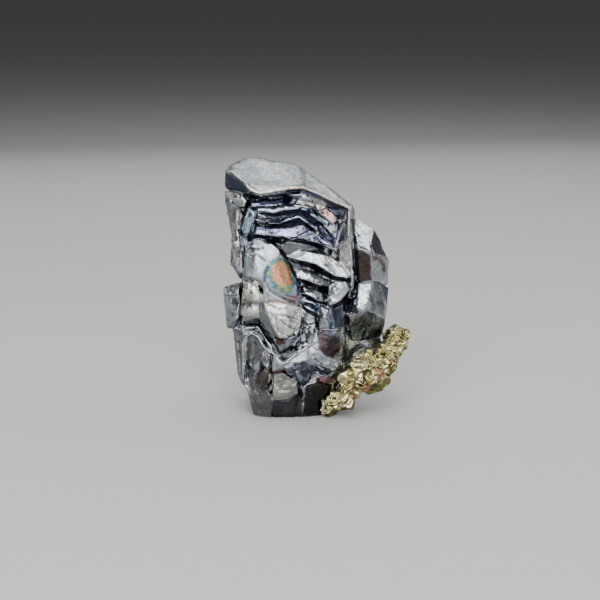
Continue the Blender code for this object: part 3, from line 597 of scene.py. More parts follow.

# The front's facets: outline in the view, colour and how strongly it tints. The colours are partly the
# facets' own tarnish and partly painted light: the white and light grey facets carry painted highlights
# and the near-black ones painted shade. A facet that isn't flush also has its shift outwards in mm and how
# much it slopes outwards to the right and upwards, in mm per mm.
FACETS = [
    # The cap and the shaded band under its rim
    ([(-8.6, 27.2), (-7, 28.9), (-3, 29.2), (0.5, 27.9), (6.6, 23.2), (5.7, 22.9), (0.4, 25.3),
      (-4.6, 24.6), (-5.8, 25.1), (-7, 26.2)], (0.44, 0.46, 0.455), 0.75),
    ([(-8.5, 27.1), (-7.4, 26.7), (-5.9, 25.7), (-5.8, 24.8), (-8.4, 25), (-8.9, 26.2)],
     (0.07, 0.095, 0.13), 0.9),
    ([(-5.1, 24.45), (0, 25.15), (0.9, 24.95), (4.4, 23.3), (5.5, 22.7), (4.2, 22.5), (1.25, 24.3),
      (0, 24.6), (-5, 23.9)], (0.1, 0.12, 0.16), 0.85, -0.1, 0, 0),
    ([(-5.8, 24.5), (-5, 24.7), (-4.6, 24.2), (-5.2, 23.8)], BROWN, 0.8),
    # The stepped left edge
    ([(-8.5, 25), (-7.2, 24.7), (-6.4, 24.2), (-6.6, 23.8), (-8.5, 24.2)], HIGHLIGHT_SILVER, 0.8, 0.05, 0, 0.1),
    ([(-8.2, 24), (-6.9, 24), (-6.1, 23.8), (-6.4, 23.1), (-7.9, 23.2)], PALE, 0.7, 0, 0.1, -0.2),
    ([(-8, 23.1), (-6.8, 23), (-6.3, 21.9), (-6.9, 21.3), (-7.8, 21.6)],
     (0.3, 0.27, 0.25), 0.7, 0, 0.1, 0),
    ([(-7.9, 21.4), (-6.9, 21), (-6.9, 18.5), (-7.7, 18.4)], PALE, 0.6, 0.05, -0.15, -0.15),
    ([(-7.8, 18.2), (-6.7, 18.4), (-6.5, 15.4), (-7.4, 15.8)], HIGHLIGHT_SILVER, 0.5, 0.05, 0.2, -0.15),
    ([(-6, 23.2), (-5.2, 22.5), (-5.3, 21), (-5.8, 20.1), (-6.5, 19.9), (-6.7, 21)],
     CYAN, 0.75, 0, 0, -0.15),
    # The upper arches
    ([(-5.6, 23.75), (-3.2, 23.85), (-1.9, 24.1), (-2, 23.4), (-4.6, 23.2), (-5.6, 23.2)],
     (0.5, 0.6, 0.84), 0.85, 0.05, 0, 0.35),
    ([(-0.9, 23.4), (0, 24.2), (0.7, 24.5), (1.1, 24.2), (1.8, 23.2), (0.6, 23.2)],
     (0.82, 0.81, 0.77), 0.9, 0.08, 0, 0.35),
    ([(-5, 23), (-3, 22.9), (-1.8, 23.35), (-0.4, 23.4), (0.8, 23.2), (1.5, 22.75), (3.3, 21.4),
      (3.2, 21), (1.5, 22.1), (0.6, 22.6), (-0.5, 22.8), (-1.9, 22.75), (-3, 22.35), (-4.8, 22.5)],
     (0.75, 0.84, 0.97), 0.95, 0.1, 0, 0.5),
    ([(-3.8, 21.45), (-2.3, 21.6), (-1.2, 22), (-0.2, 22.3), (0.5, 21.95), (2.1, 20.8), (2.1, 20.3),
      (0.5, 21.35), (-0.2, 21.85), (-1.2, 21.5), (-3.7, 21.15)], (0.7, 0.77, 0.92), 0.95, 0.1, 0, 0.5),
    ([(-5.1, 21), (-3.3, 20.7), (-0.6, 20.85), (0.2, 21.1), (1.9, 20), (3.8, 18.5), (2, 19.1),
      (0.5, 19.4), (-1, 19.65), (-3, 19.8), (-5.2, 20.1)], (0.58, 0.63, 0.8), 0.9, 0.05, 0, 0.35),
    ([(-4.9, 22.4), (-3.8, 22.1), (-3.8, 21.7), (-4.8, 22)], HIGHLIGHT_SILVER, 0.85, 0.1, 0, -0.3),
    ([(1.3, 24.2), (2.5, 23.85), (3.1, 23.3), (2.9, 22.9), (2, 22.7), (1.7, 23.2)],
     CREAM, 0.85, 0.05, 0, -0.3),
    ([(2.1, 22.6), (3, 22.9), (4.3, 22), (4.3, 21.6), (3.7, 21.1)], PINK, 0.85, 0.05, 0, -0.3),
    ([(2.5, 24.1), (4.6, 23), (5, 22.2), (4.2, 22.1), (3.1, 23)], SLATE, 0.7),
    # The face inside the right rim and the lower arches
    ([(4.3, 19.9), (4.9, 21), (5.3, 22.4), (5.5, 20), (5.7, 17), (5.8, 16.3), (5.2, 16.1), (4.5, 16.6),
      (4, 17.4), (3.9, 18.5)], (0.8, 0.79, 0.75), 0.9, 0, 0.15, -0.03),
    ([(-2.9, 19.3), (0, 18.7), (2.6, 18.3), (2.8, 17.6), (0.2, 18.2), (-1.5, 17.6)],
     ASH, 0.8, 0, 0, -0.1),
    ([(-1.6, 17.4), (0.1, 18.2), (2.8, 17.6), (4, 16.8), (5.1, 16), (6.2, 15.4), (5.9, 14.7), (4, 15.2),
      (2.5, 16.1), (0.2, 16.8), (-1, 17)], (0.9, 0.91, 0.93), 0.95, 0.08, 0, 0.12),
    ([(-0.8, 15.9), (0.7, 15.9), (2.5, 15.4), (3.8, 14.75), (3.2, 14.2), (1.3, 14.75), (-0.2, 14.9)],
     HIGHLIGHT_SILVER, 0.95, 0.08, 0, 0.12),
    ([(0, 14.2), (1.7, 14), (3.2, 13), (3, 12.3), (1.3, 12.7), (0.3, 13.2)], HIGHLIGHT_SILVER, 0.9, 0.05, 0, 0.1),
    ([(0.4, 12.5), (1.5, 12.1), (2.4, 11.6), (2, 10.9), (1, 11.3), (0.4, 11.6)],
     CYAN, 0.5, 0.05, 0, -0.2),
    ([(3.3, 14), (4.2, 14.5), (5.4, 14.5), (5.6, 13.6), (4.7, 12.4), (3.5, 11.7), (3.1, 12.3),
      (3.4, 13.1)], HIGHLIGHT_SILVER, 0.85, 0, 0, -0.15),
    # The tongue, the lobes, the knob and what lies under it
    (TONGUE, (0.64, 0.69, 0.73), 0.8),
    ([(-6.9, 14.7), (-4.7, 14.2), (-4.1, 13.2), (-4.6, 12.2), (-4.6, 10.2), (-6.9, 10)],
     (0.56, 0.55, 0.51), 0.9, 0, 0, -0.03),
    ([(-4.6, 13.2), (-4, 12.4), (-4, 11.2), (-3.2, 9.6), (-2.6, 7.7), (-3.2, 8), (-4.4, 9.7),
      (-4.6, 10.6)], (0.28, 0.29, 0.28), 0.8, -0.05, 0.1, 0),
    ([(-4.05, 12), (-3, 12.4), (-0.4, 11.75), (0.5, 11.3), (0.25, 9.8), (0.4, 9.2), (-0.5, 8.2),
      (-2.3, 7.8), (-3.1, 9.6)], (0.95, 0.95, 0.92), 0.95, 0, 0, -0.06),
    ([(-3.4, 7), (-2.4, 6.9), (-1, 6.6), (0.1, 6.9), (-0.6, 6.2), (-1.75, 5.4), (-2.8, 6.3)],
     (0.3, 0.3, 0.28), 0.85, 0.05, 0, -0.1),
    ([(-3, 8.3), (-2, 8.1), (-1.5, 7.4), (-2.6, 7.2)], (0.16, 0.1, 0.08), 0.85),
    # The leaf, the V and the columns at the lower left
    ([(-6.1, 8.2), (-5.5, 8.6), (-4.8, 8.1), (-4.2, 7), (-3.6, 6.3), (-3.5, 5.3), (-4.5, 5.6),
      (-5.3, 4.6), (-6, 5.5)], (0.2, 0.2, 0.21), 0.85, 0, 0.12, -0.03),
    ([(-4.2, 7), (-3, 6.1), (-1.9, 5.1), (-2.4, 4.4), (-3.2, 4.1), (-3.5, 5.5)],
     (0.44, 0.46, 0.46), 0.85, 0.03, 0, -0.12),
    ([(-5.2, 3.8), (-4.4, 4.8), (-3.6, 4.9), (-3.4, 3.9), (-3.5, 2.7), (-4.2, 1.9), (-5.2, 2.6)],
     (0.12, 0.105, 0.09), 0.9, 0.02, 0.2, 0),
    ([(-4.5, 5.5), (-3.95, 4.75), (-4.75, 4)], (0.03, 0.03, 0.03), 0.9, -0.15, 0, 0),
    ([(-7.8, 9.2), (-6.7, 8.8), (-6.2, 7), (-6.1, 4), (-6.4, 2.9), (-7.3, 4.5)],
     (0.24, 0.26, 0.28), 0.75),
    ([(-5.9, 5), (-5.1, 4.2), (-5.1, 2.5), (-4.2, 2), (-3.5, 3), (-3.2, 0.8), (-3.3, -1.6), (-5.6, -1.6)],
     (0.17, 0.17, 0.17), 0.8),
    # The faces above the foot and the foot
    ([(-1.5, 5.4), (-0.3, 6.2), (-0.3, 7.4), (0.9, 7.6), (2.2, 6.4), (3.9, 5.7), (4.9, 5.3), (4.9, 4),
      (3.6, 4.2), (2.2, 4.9), (1.2, 5.5), (-0.4, 5.3)], (0.52, 0.55, 0.6), 0.85, 0.05, 0.05, -0.1),
    ([(3.4, 4.4), (4.9, 3.9), (5.4, 3), (4.5, 2.8), (3.9, 3.3)], (0.3, 0.31, 0.3), 0.8),
    ([(-1.5, 4.4), (-0.7, 5.2), (0.5, 5.4), (1.7, 4.8), (1.3, 3.4), (0.4, 2.4), (-0.5, 3.3)],
     (0.07, 0.08, 0.105), 0.9, 0, 0, -0.05),
    ([(-0.6, 4.2), (-0.1, 4.4), (0.5, 3.4), (0.1, 3)], (0.48, 0.49, 0.6), 0.7, 0, 0, -0.2),
    ([(-3.25, 3.9), (-1.75, 4.1), (-0.9, 3.6), (-0.35, 2.9), (-0.6, 1.8), (-1.4, 1), (-3.1, 0.9)],
     (0.42, 0.4, 0.36), 0.85, 0.03, -0.08, -0.1),
    ([(-3.3, 4.3), (-1.8, 4.5), (-1.6, 4.1), (-3.2, 3.85)], (0.2, 0.12, 0.1), 0.8),
    ([(-3.2, 0.8), (-1.4, 0.8), (-0.5, 1.6), (0.2, 2), (0.4, -1.6), (-3.4, -1.6)],
     (0.075, 0.073, 0.07), 0.9, -0.05, 0, 0),
    ([(-0.4, 2.2), (0.2, 2.2), (0.5, 1.5), (-0.1, 1.2)], (0.15, 0.08, 0.07), 0.8),
    ([(2.1, 8.8), (4.8, 9), (4.9, 5.4), (3.7, 5.8), (1.9, 6.7)], (0.25, 0.26, 0.28), 0.75, 0, 0, -0.05),
    ([(2, 9), (3.4, 9), (4.6, 8.1), (4.6, 6.3), (3.8, 5.7), (2.9, 6), (2.2, 6.7)],
     (0.1, 0.075, 0.08), 0.85, -0.03, 0, 0),
    ([(1.6, 3.3), (2.4, 3.7), (3.9, 3.7), (3.9, 3), (3, 2.7), (2, 2.6)],
     (0.15, 0.075, 0.06), 0.85, 0, 0, -0.1),
    ([(0.5, 2.4), (1.9, 3), (3.6, 2.7), (3.2, -1.6), (0.3, -1.6)],
     (0.04, 0.039, 0.035), 0.93, 0, 0.05, 0.1),
    # The small facets in the middle
    ([(0.6, 9), (1.9, 9.2), (2.1, 7.6), (1.2, 7.2), (0.6, 7.6)], (0.42, 0.43, 0.44), 0.8, 0, 0, -0.15),
    ([(2.2, 11.7), (3.3, 11.2), (3.3, 9.2), (2.2, 9.1), (2, 10.2)],
     (0.4, 0.42, 0.43), 0.8, 0.05, 0, -0.1),
    ([(0.6, 11), (1.6, 10.6), (1.9, 9.5), (1, 9.3), (0.4, 10.2)], (0.38, 0.4, 0.4), 0.75, 0, 0, -0.15),
    ([(3.5, 11.4), (4.9, 11.7), (5, 9.2), (3.5, 9.2)], (0.08, 0.1, 0.14), 0.85),
    # The second crystal on the right
    ([(6.4, 21.9), (8.5, 20.5), (8.1, 17.8), (6.7, 18.2), (6.2, 18.6), (6.1, 20.2)],
     (0.76, 0.78, 0.79), 0.9, 0.05, 0, -0.15),
    ([(8.6, 20.5), (8.2, 17.8), (8.4, 14.6), (9.2, 14.2), (10.6, 17)],
     (0.5, 0.53, 0.55), 0.8, 0, 0.05, 0),
    ([(6.2, 18.3), (7, 18.1), (8, 17.5), (8.25, 14.6), (6.6, 14.3), (6.3, 15)],
     (0.12, 0.105, 0.1), 0.9, -0.08, 0, 0),
    ([(6.8, 14.3), (8.2, 14.4), (8.1, 13), (7.7, 12), (7.3, 11.2), (6.4, 11.5), (6.7, 12.8)],
     HIGHLIGHT_SILVER, 0.9, 0.03, 0, -0.12),
    ([(8.3, 14.4), (9.2, 14.2), (9.6, 12.7), (9.8, 10.5), (8, 11.1), (8.1, 12.6)],
     (0.28, 0.31, 0.32), 0.8),
    ([(9.3, 14.2), (10.4, 13.6), (10.2, 11.8), (9.7, 12.5)], DEEP_BLUE, 0.8),
    (LOW_DARK_FACE, (0.14, 0.155, 0.18), 0.95, -0.05, 0, -0.05),
    ([(5.2, 10.9), (6.7, 11.2), (6.2, 9.9), (5.8, 9.2), (5.2, 10)],
     (0.24, 0.22, 0.21), 0.75, 0, 0, -0.15),
    # The block that sticks out on the left
    ([(-8.9, 14), (-7, 14.6), (-6.9, 13.2), (-8.6, 13)], HIGHLIGHT_SILVER, 0.85, 0.03, 0, -0.2),
    ([(-8.6, 12.9), (-7, 13), (-7, 10.2), (-8.4, 9.3)], (0.42, 0.45, 0.47), 0.65, 0, 0.1, -0.08),
    ([(-6.9, 9.6), (-5.2, 9.6), (-5.2, 9), (-6.6, 8.9)], HIGHLIGHT_SILVER, 0.7, 0, 0, -0.2),
]

# Creased faces: outline, how far the creases reach in mm, and how far apart they are in mm.
CREASES = [
    ([(-3.9, 11.6), (-3.4, 12.4), (0, 11.5), (0.3, 9.4), (-1.7, 7.9), (-3, 8.6)], 0.12, 0.55),
    ([(3.2, 13.2), (3.5, 14.4), (5.5, 14.6), (5.6, 13.2), (3.5, 11.6)], 0.08, 0.5),
    ([(-6.6, 14.6), (-4.6, 14), (-4.7, 10.4), (-7, 10.6)], 0.11, 1),
    ([(-6.1, 8.2), (-4.9, 8.1), (-3.5, 6.2), (-3.6, 2), (-6, 2.6)], 0.09, 0.6),
    ([(-7.8, 9.2), (-6.2, 8.6), (-6.2, 3), (-7.3, 4.5)], 0.08, 0.7),
    ([(-3.2, 4), (-0.6, 4), (-0.6, 1.2), (-3.1, 1)], 0.06, 0.35),
    ([(-1.8, 5.2), (1.8, 5.6), (4.9, 6.2), (4.9, 4.6), (1, 2.4), (-1.6, 3.8)], 0.11, 0.45),
    ([(2.2, 9), (4.9, 9), (4.9, 5.4), (2, 6.4)], 0.1, 0.5),
    ([(0.3, 12.4), (2.1, 11.6), (2.1, 7.2), (0.3, 7.4)], 0.06, 0.6),
    ([(-8.8, 14), (-6.8, 14.6), (-6.9, 9.6), (-8.4, 9.2)], 0.09, 0.7),
    ([(-8.8, 25.2), (-6.2, 24.6), (-6.4, 15.4), (-8, 15.6)], 0.09, 0.8),
    ([(-5.8, 24), (1.2, 24.6), (4.5, 22), (3.9, 18), (-5.6, 19.7)], 0.05, 0.6),
    ([(-3, 19.3), (2.6, 18.3), (6.2, 15.4), (3.2, 12), (0.4, 11.6), (-0.6, 15)], 0.05, 0.7),
    ([(-6.2, 5), (-3.2, 6), (-3.2, -1.6), (-5.6, -1.6)], 0.07, 0.9),
    ([(6.2, 22), (10.4, 17.4), (10.3, 13), (9.6, 8), (5.8, 7.8)], 0.025, 0.8),
]

# Stains, painted highlights and painted shadows: line, half width in mm, colour and strength.
STAINS_AND_PAINTED_LIGHT = [
    ([(-5.4, 17.2), (-5.3, 15.4)], 0.8, (0.88, 0.92, 0.96), 0.75),
    ([(7.55, 17), (7.6, 15.5)], 0.4, (0.17, 0.09, 0.08), 0.7),
    ([(-6.2, 15), (-5.2, 14.7), (-4.5, 14.2)], 0.3, (0.2, 0.18, 0.16), 0.6),
    ([(-6.2, 13.9), (-5.4, 13.5), (-4.9, 12.8)], 0.6, (0.9, 0.89, 0.84), 0.9),
    ([(-6.2, 12.3), (-5, 12.1)], 0.18, BROWN, 0.5),
    ([(-6.7, 10.9), (-6, 11.25), (-4.9, 11.05)], 0.38, (0.95, 0.94, 0.9), 0.95),
    ([(-6.5, 10.3), (-4.8, 10.3)], 0.16, ASH, 0.7),
    ([(2.6, 7.9), (3.3, 7.3), (4, 6.6)], 0.35, (0.13, 0.06, 0.055), 0.45),
    ([(-1.9, 6.75), (-1.2, 6.6), (-0.6, 6.6)], 0.22, SHADE_BLACK, 0.8),
    ([(-2.6, 7.4), (-1.9, 7.5)], 0.25, (0.15, 0.08, 0.06), 0.6),
    ([(0.2, 6.7), (0.6, 6.95), (1.1, 7)], 0.35, (0.85, 0.86, 0.86), 0.8),
    ([(1.2, 6.2), (2.2, 5.6)], 0.3, PALE, 0.7),
    ([(-0.9, 4.8), (-0.3, 4.4), (0.6, 4.6)], 0.14, (0.45, 0.46, 0.58), 0.6),
    ([(0.1, 3.6), (0.7, 3.2), (1.1, 3.9)], 0.14, (0.42, 0.43, 0.52), 0.6),
    ([(-4.4, 2.9), (-4, 4.2)], 0.2, (0.25, 0.22, 0.19), 0.6),
    ([(3, 8.5), (4.4, 8.3)], 0.2, (0.2, 0.24, 0.32), 0.6),
    ([(4.85, 8.8), (4.85, 6.6), (4.8, 5.3)], 0.12, PALE, 0.8),
    ([(0.9, 4.9), (1.6, 4.4)], 0.25, (0.3, 0.34, 0.45), 0.6),
    ([(-1.2, 4.4), (-0.6, 3.6)], 0.2, (0.3, 0.34, 0.42), 0.6),
    ([(-5.95, 7.4), (-5.95, 4.6)], 0.22, (0.09, 0.09, 0.085), 0.7),
    ([(-5.5, 8.2), (-5.3, 6)], 0.15, (0.45, 0.44, 0.4), 0.6),
    ([(-4.6, 7), (-4.4, 6)], 0.2, (0.4, 0.4, 0.38), 0.5),
    ([(-2.9, 3.3), (-2.6, 1.6)], 0.3, (0.66, 0.64, 0.6), 0.6),
    ([(-5.2, 3.8), (-5.4, 1.4)], 0.18, (0.36, 0.36, 0.36), 0.5),
    ([(8.5, 17.2), (9.2, 17), (9.6, 16.4), (9.55, 15.8)], 0.2, (0.11, 0.05, 0.05), 0.95),
    ([(-4.5, 27.8), (-3.4, 26.8), (-2.4, 26.2)], 0.45, (0.64, 0.66, 0.66), 0.5),
    ([(0, 26.8), (2.5, 25.3), (4.5, 24.1)], 0.35, (0.64, 0.65, 0.64), 0.5),
    ([(-7.6, 27.9), (-6.2, 28.5)], 0.4, (0.3, 0.33, 0.33), 0.5),
    ([(-2, 27.9), (0, 27.3)], 0.35, (0.33, 0.36, 0.36), 0.5),
    ([(-8.3, 24.7), (-7.4, 24.4), (-6.6, 24.2)], 0.25, (0.9, 0.9, 0.9), 0.85),
    ([(-8.5, 13.7), (-7.7, 13.9), (-7.1, 14.2)], 0.3, (0.9, 0.9, 0.9), 0.9),
    ([(-8.3, 12.6), (-7.6, 11.6), (-7.4, 10.6)], 0.3, (0.64, 0.67, 0.69), 0.7),
    ([(-4.9, 22.3), (-4.3, 22), (-3.9, 21.8)], 0.14, (0.9, 0.9, 0.88), 0.9),
    ([(-1.6, 12.9), (-0.9, 12.75), (-0.3, 12.9)], 0.13, (0.5, 0.1, 0.16), 0.8),
    ([(-1.7, 12.45), (-1, 12.3), (-0.3, 12.4)], 0.12, (0.62, 0.2, 0.24), 0.7),
    ([(-0.75, 14.6), (-0.35, 13.8), (-0.2, 13.2)], 0.17, (0.25, 0.22, 0.6), 0.7),
    ([(-2.9, 12.35), (-2.3, 12.2), (-1.8, 12.1)], 0.18, PINK, 0.7),
    ([(-3.7, 12), (-3.4, 11.7), (-3.1, 12.3)], 0.14, (0.85, 0.6, 0.25), 0.7),
    ([(-6.1, 17.9), (-6.05, 17)], 0.14, (0.3, 0.75, 0.85), 0.6),
    ([(-0.6, 25.2), (0.3, 25.3), (0.9, 25.1)], 0.12, PINK, 0.8),
    ([(-2.4, 17.7), (-1.9, 17), (-1.5, 16.1)], 0.13, (0.85, 0.45, 0.42), 0.7),
    ([(1.9, 22.4), (2.6, 21.7), (3.3, 21.1)], 0.1, (0.55, 0.8, 0.95), 0.8),
    ([(0.5, 22.1), (2, 20.6), (3.6, 18.9)], 0.2, (0.32, 0.28, 0.52), 0.6),
    ([(1.3, 21.9), (2.6, 20.6), (3.8, 19.3)], 0.14, (0.55, 0.62, 0.9), 0.75),
    ([(0.9, 21.4), (2.4, 19.9)], 0.12, (0.5, 0.3, 0.4), 0.6),
    ([(-5.2, 23.3), (-3.4, 23.25), (-2.2, 23.5)], 0.15, (0.75, 0.82, 0.97), 0.8),
    ([(-2.6, 20.3), (-0.8, 20.3), (0.4, 20.3)], 0.2, (0.36, 0.32, 0.58), 0.5),
    ([(-2.2, 23.6), (-1.9, 23.85)], 0.12, (0.1, 0.15, 0.5), 0.7),
]


def facet_shift(x, z):
    """How far the facets' own slopes move the surface outwards, in mm."""
    shift = np.zeros(len(x))
    for outline, _, _, *plane in FACETS:
        if plane:
            height, slope_x, slope_z = plane
            middle_x, middle_z = np.mean(outline, axis=0)
            inside = rise(inside_distance(x, z, outline), -0.06, 0.12)
            outwards = height + slope_x * (x - middle_x) + slope_z * (z - middle_z)
            shift = shift * (1 - inside) + inside * np.clip(outwards, -0.3, 0.2)
    return shift


def tint(colour, new_colour, amount):
    """Lays new_colour over an array of colours whose fourth value is their strength."""
    keep = 1 - amount
    total = colour[:, 3] * keep + amount
    for channel in range(3):
        mixed = colour[:, channel] * colour[:, 3] * keep + new_colour[channel] * amount
        colour[:, channel] = np.where(total > 0, mixed / np.maximum(total, 1e-6), colour[:, channel])
    colour[:, 3] = total


# The film's patch on the tongue: its middle, the cosine and sine of its lean, its reach to the right and
# left and up and down in mm, and its thickness by how far out a point lies, 1 being the edge.
FILM_MIDDLE = (-2.25, 15.8)
FILM_LEAN = (0.94, 0.34)
FILM_SIDEWAYS = (1.5, 1.8)
FILM_UPRIGHT = (1.6, 3.1)
FILM_PLACES = [0, 0.45, 0.7, 1.0, 1.2]
FILM_THICKNESSES = [1.05, 0.58, 0.38, 0.2, 0]


def film_thickness(x, z):
    """How thick the film is: it thins out from the patch's middle, most slowly downwards."""
    across = x - FILM_MIDDLE[0]
    above = z - FILM_MIDDLE[1]
    right = across * FILM_LEAN[0] + above * FILM_LEAN[1]
    up = above * FILM_LEAN[0] - across * FILM_LEAN[1]
    reach = np.hypot(right / np.where(right > 0, *FILM_SIDEWAYS), up / np.where(up > 0, *FILM_UPRIGHT))
    return np.interp(reach, FILM_PLACES, FILM_THICKNESSES)


def tarnish_and_light_brightness(tarnish_and_painted_light):
    """How bright the tarnish with its painted highlights and painted shade leaves each point, from -1 to
    1.
    """
    lightness = tarnish_and_painted_light[:, :3].max(axis=1)
    return tarnish_and_painted_light[:, 3] * (rise(lightness, 0.3, 0.6) - 1 + rise(lightness, 0.1, 0.3))


def paint_tarnish_and_light(piece):
    """Stores each point's tarnish with its painted highlights and painted shade, its film and its painted
    crevice shadow, and returns the tarnish layer's brightness.
    """
    points, normals = mesh_arrays(piece.data)
    weight = front_weight(points, normals, TARNISH_AND_LIGHT_DEPTH)
    near = weight > 0
    front = weight[near]
    x, z, _ = in_view(points[near])
    wander_x = x + 0.1 * noise(points[near], 0.7, 21)
    wander_z = z + 0.1 * noise(points[near], 0.7, 22)
    colour = np.zeros((len(x), 4))
    for outline, facet_colour, strength, *_ in FACETS:
        amount = strength * front * rise(inside_distance(wander_x, wander_z, outline), -0.08, 0.12)
        tint(colour, facet_colour, amount)
    # Raised lines get a painted highlight, sunk lines painted shade.
    for line, half_width, rise_by in LINES:
        painted_light_colour, strength = (RIDGE_HIGHLIGHT, 0.85) if rise_by > 0 else (SHADE_BLACK, 0.6)
        drawn = front * near_line(x, z, line, half_width, narrowed=1.3)
        tint(colour, painted_light_colour, strength * drawn)
    # Stains, painted highlights and painted shadows.
    for line, half_width, stain_and_light_colour, strength in STAINS_AND_PAINTED_LIGHT:
        tint(colour, stain_and_light_colour, strength * front * near_line(wander_x, wander_z, line, half_width))
    everywhere = np.zeros((len(points), 4))
    everywhere[near] = colour
    stored = piece.data.attributes.new("tarnish_and_painted_light", "FLOAT_COLOR", "POINT")
    stored.data.foreach_set("color", everywhere.ravel())
    film = np.zeros(len(points))
    film[near] = film_thickness(wander_x, wander_z) * front
    store(piece, "film", film)
    shadow = np.zeros(len(points))
    shadow[near] = gaps(x, z)[0] * front
    store(piece, "shadow", shadow)
    return tarnish_and_light_brightness(everywhere)


def relaxed(piece, rounds):
    """The points and normals of the surface when all of it is relaxed."""
    copy = new_object("relaxed", piece.data.copy())
    modifier = copy.modifiers.new("smooth", "SMOOTH")
    modifier.iterations = rounds
    apply_modifiers(copy)
    arrays = mesh_arrays(copy.data)
    bpy.data.objects.remove(copy)
    return arrays


def paint_tone_and_shade(piece, rounds, bright=None):
    """Stores how sunk each point is, in mm, from which the materials paint shade into the hollows and
    highlights onto the raised edges, and a tone for each facet that varies at random, with painted shade
    on the undersides.
    """
    points, normals = mesh_arrays(piece.data)
    calm_points, calm_normals = relaxed(piece, rounds)
    sunk = ((calm_points - points) * normals).sum(axis=1)
    if bright is not None:
        # Where the tarnish and painted light are bright they keep the painted shade out of the hollows,
        # and where they are dark they keep the painted highlight off the edges.
        held_back = np.where(sunk > 0, np.maximum(bright, 0), np.maximum(-bright, 0))
        sunk *= 1 - 0.75 * held_back
    # How sunk each point is: the materials turn it into painted shade in the hollows and painted
    # highlights on the raised edges.
    store(piece, "hollow", sunk)
    tone = 0.5 + 0.5 * noise(calm_normals * 2.2 + points * 0.12, 1, 31)
    # Painted shade: the undersides are made darker.
    underside_shade = rise(-calm_normals[:, 2], -0.05, 0.6)
    store(piece, "tone", np.clip(tone * (1 - 0.8 * underside_shade), 0, 1))


def node(tree, kind, **settings):
    """A shader node with its properties and inputs set by name. An underscore stands for a space."""
    made = tree.nodes.new(kind)
    for name, value in settings.items():
        if hasattr(made, name):
            setattr(made, name, value)
        else:
            made.inputs[name.replace("_", " ")].default_value = value
    return made


def ramp(tree, source, stops):
    """The source run through a colour ramp whose stops are places and colours."""
    made = tree.nodes.new("ShaderNodeValToRGB")
    points = made.color_ramp.elements
    while len(points) < len(stops):
        points.new(0.5)
    for point, (place, colour) in zip(points, stops):
        point.position = place
        point.color = (*colour, 1)
    tree.links.new(source, made.inputs["Fac"])
    return made.outputs["Color"]


def mix_colour(tree, factor, first, second, blend="MIX"):
    """The second colour laid over the first one. Each value is a socket or a constant."""
    made = tree.nodes.new("ShaderNodeMix")
    made.data_type = "RGBA"
    made.blend_type = blend
    for socket, value in (("Factor", factor), ("A", first), ("B", second)):
        inputs = [i for i in made.inputs if i.name == socket and i.enabled]
        if isinstance(value, bpy.types.NodeSocket):
            tree.links.new(value, inputs[0])
        else:
            inputs[0].default_value = value
    return next(o for o in made.outputs if o.enabled)


def object_noise(tree, scale_mm, detail=3.0, roughness=0.6):
    """Noise in the object's own space whose features are scale_mm apart."""
    place = tree.nodes.get("place") or tree.nodes.new("ShaderNodeTexCoord")
    place.name = "place"
    made = node(tree, "ShaderNodeTexNoise", Scale=1 / (scale_mm * MM), Detail=detail, Roughness=roughness)
    tree.links.new(place.outputs["Object"], made.inputs["Vector"])
    return made.outputs["Fac"]


def mapped(tree, source, **stretch):
    """The source run through a map range node."""
    made = node(tree, "ShaderNodeMapRange", **stretch)
    tree.links.new(source, made.inputs["Value"])
    return made.outputs["Result"]


def scaled(tree, source, low, high):
    """Noise brought to the stretch from low to high."""
    return mapped(tree, source, From_Min=0.3, From_Max=0.7, To_Min=low, To_Max=high)


def bump(tree, height, distance_mm, strength, before=None):
    made = node(tree, "ShaderNodeBump", Distance=distance_mm * MM, Strength=strength)
    tree.links.new(height, made.inputs["Height"])
    if before:
        tree.links.new(before, made.inputs["Normal"])
    return made.outputs["Normal"]


def metal_material(name):
    """A new metal with its node tree and its shader."""
    material = bpy.data.materials.new(name)
    material.use_nodes = True
    tree = material.node_tree
    shader = tree.nodes["Principled BSDF"]
    shader.inputs["Metallic"].default_value = 1
    shader.inputs["Specular Tint"].default_value = (0.75, 0.75, 0.77, 1)
    return material, tree, shader


def attribute(tree, name, output="Fac"):
    return node(tree, "ShaderNodeAttribute", attribute_name=name).outputs[output]


def sum_of(tree, first, second):
    made = node(tree, "ShaderNodeMath", operation="ADD")
    tree.links.new(first, made.inputs[0])
    tree.links.new(second, made.inputs[1])
    return made.outputs[0]


def deepened(tree, colour, power):
    made = node(tree, "ShaderNodeGamma", Gamma=power)
    tree.links.new(colour, made.inputs["Color"])
    return made.outputs["Color"]


# The ramps of the materials: place and colour of each stop.
GALENA_TONES = [
    (0.0, (0.14, 0.15, 0.17)), (0.3, (0.3, 0.31, 0.34)), (0.55, (0.48, 0.49, 0.52)),
    (0.85, (0.7, 0.71, 0.74)),
]
FILM_TONES = [
    (0.13, (0.4, 0.42, 0.48)), (0.19, (0.14, 0.17, 0.38)), (0.25, (0.03, 0.22, 0.27)),
    (0.36, (0.13, 0.28, 0.14)), (0.44, (0.4, 0.34, 0.1)), (0.52, (0.66, 0.2, 0.06)),
    (0.62, (0.72, 0.38, 0.34)), (0.71, (0.5, 0.3, 0.07)), (0.8, (0.6, 0.17, 0.05)),
    (0.9, (0.75, 0.48, 0.3)), (1.0, (0.5, 0.2, 0.08)),
]
FILM_STRENGTH = [(0.12, (0, 0, 0)), (0.3, (0.85, 0.85, 0.85))]
PATINA = [(0.36, (0.7, 0.72, 0.75)), (0.56, (1, 1, 1))]
FINE_PATINA = [(0.36, (0.62, 0.63, 0.64)), (0.54, (1, 1, 1))]
CHALCOPYRITE_TONES = [
    (0.0, (0.09, 0.08, 0.035)), (0.3, (0.4, 0.37, 0.18)), (0.55, (0.72, 0.67, 0.39)),
    (0.9, (0.95, 0.93, 0.72)),
]


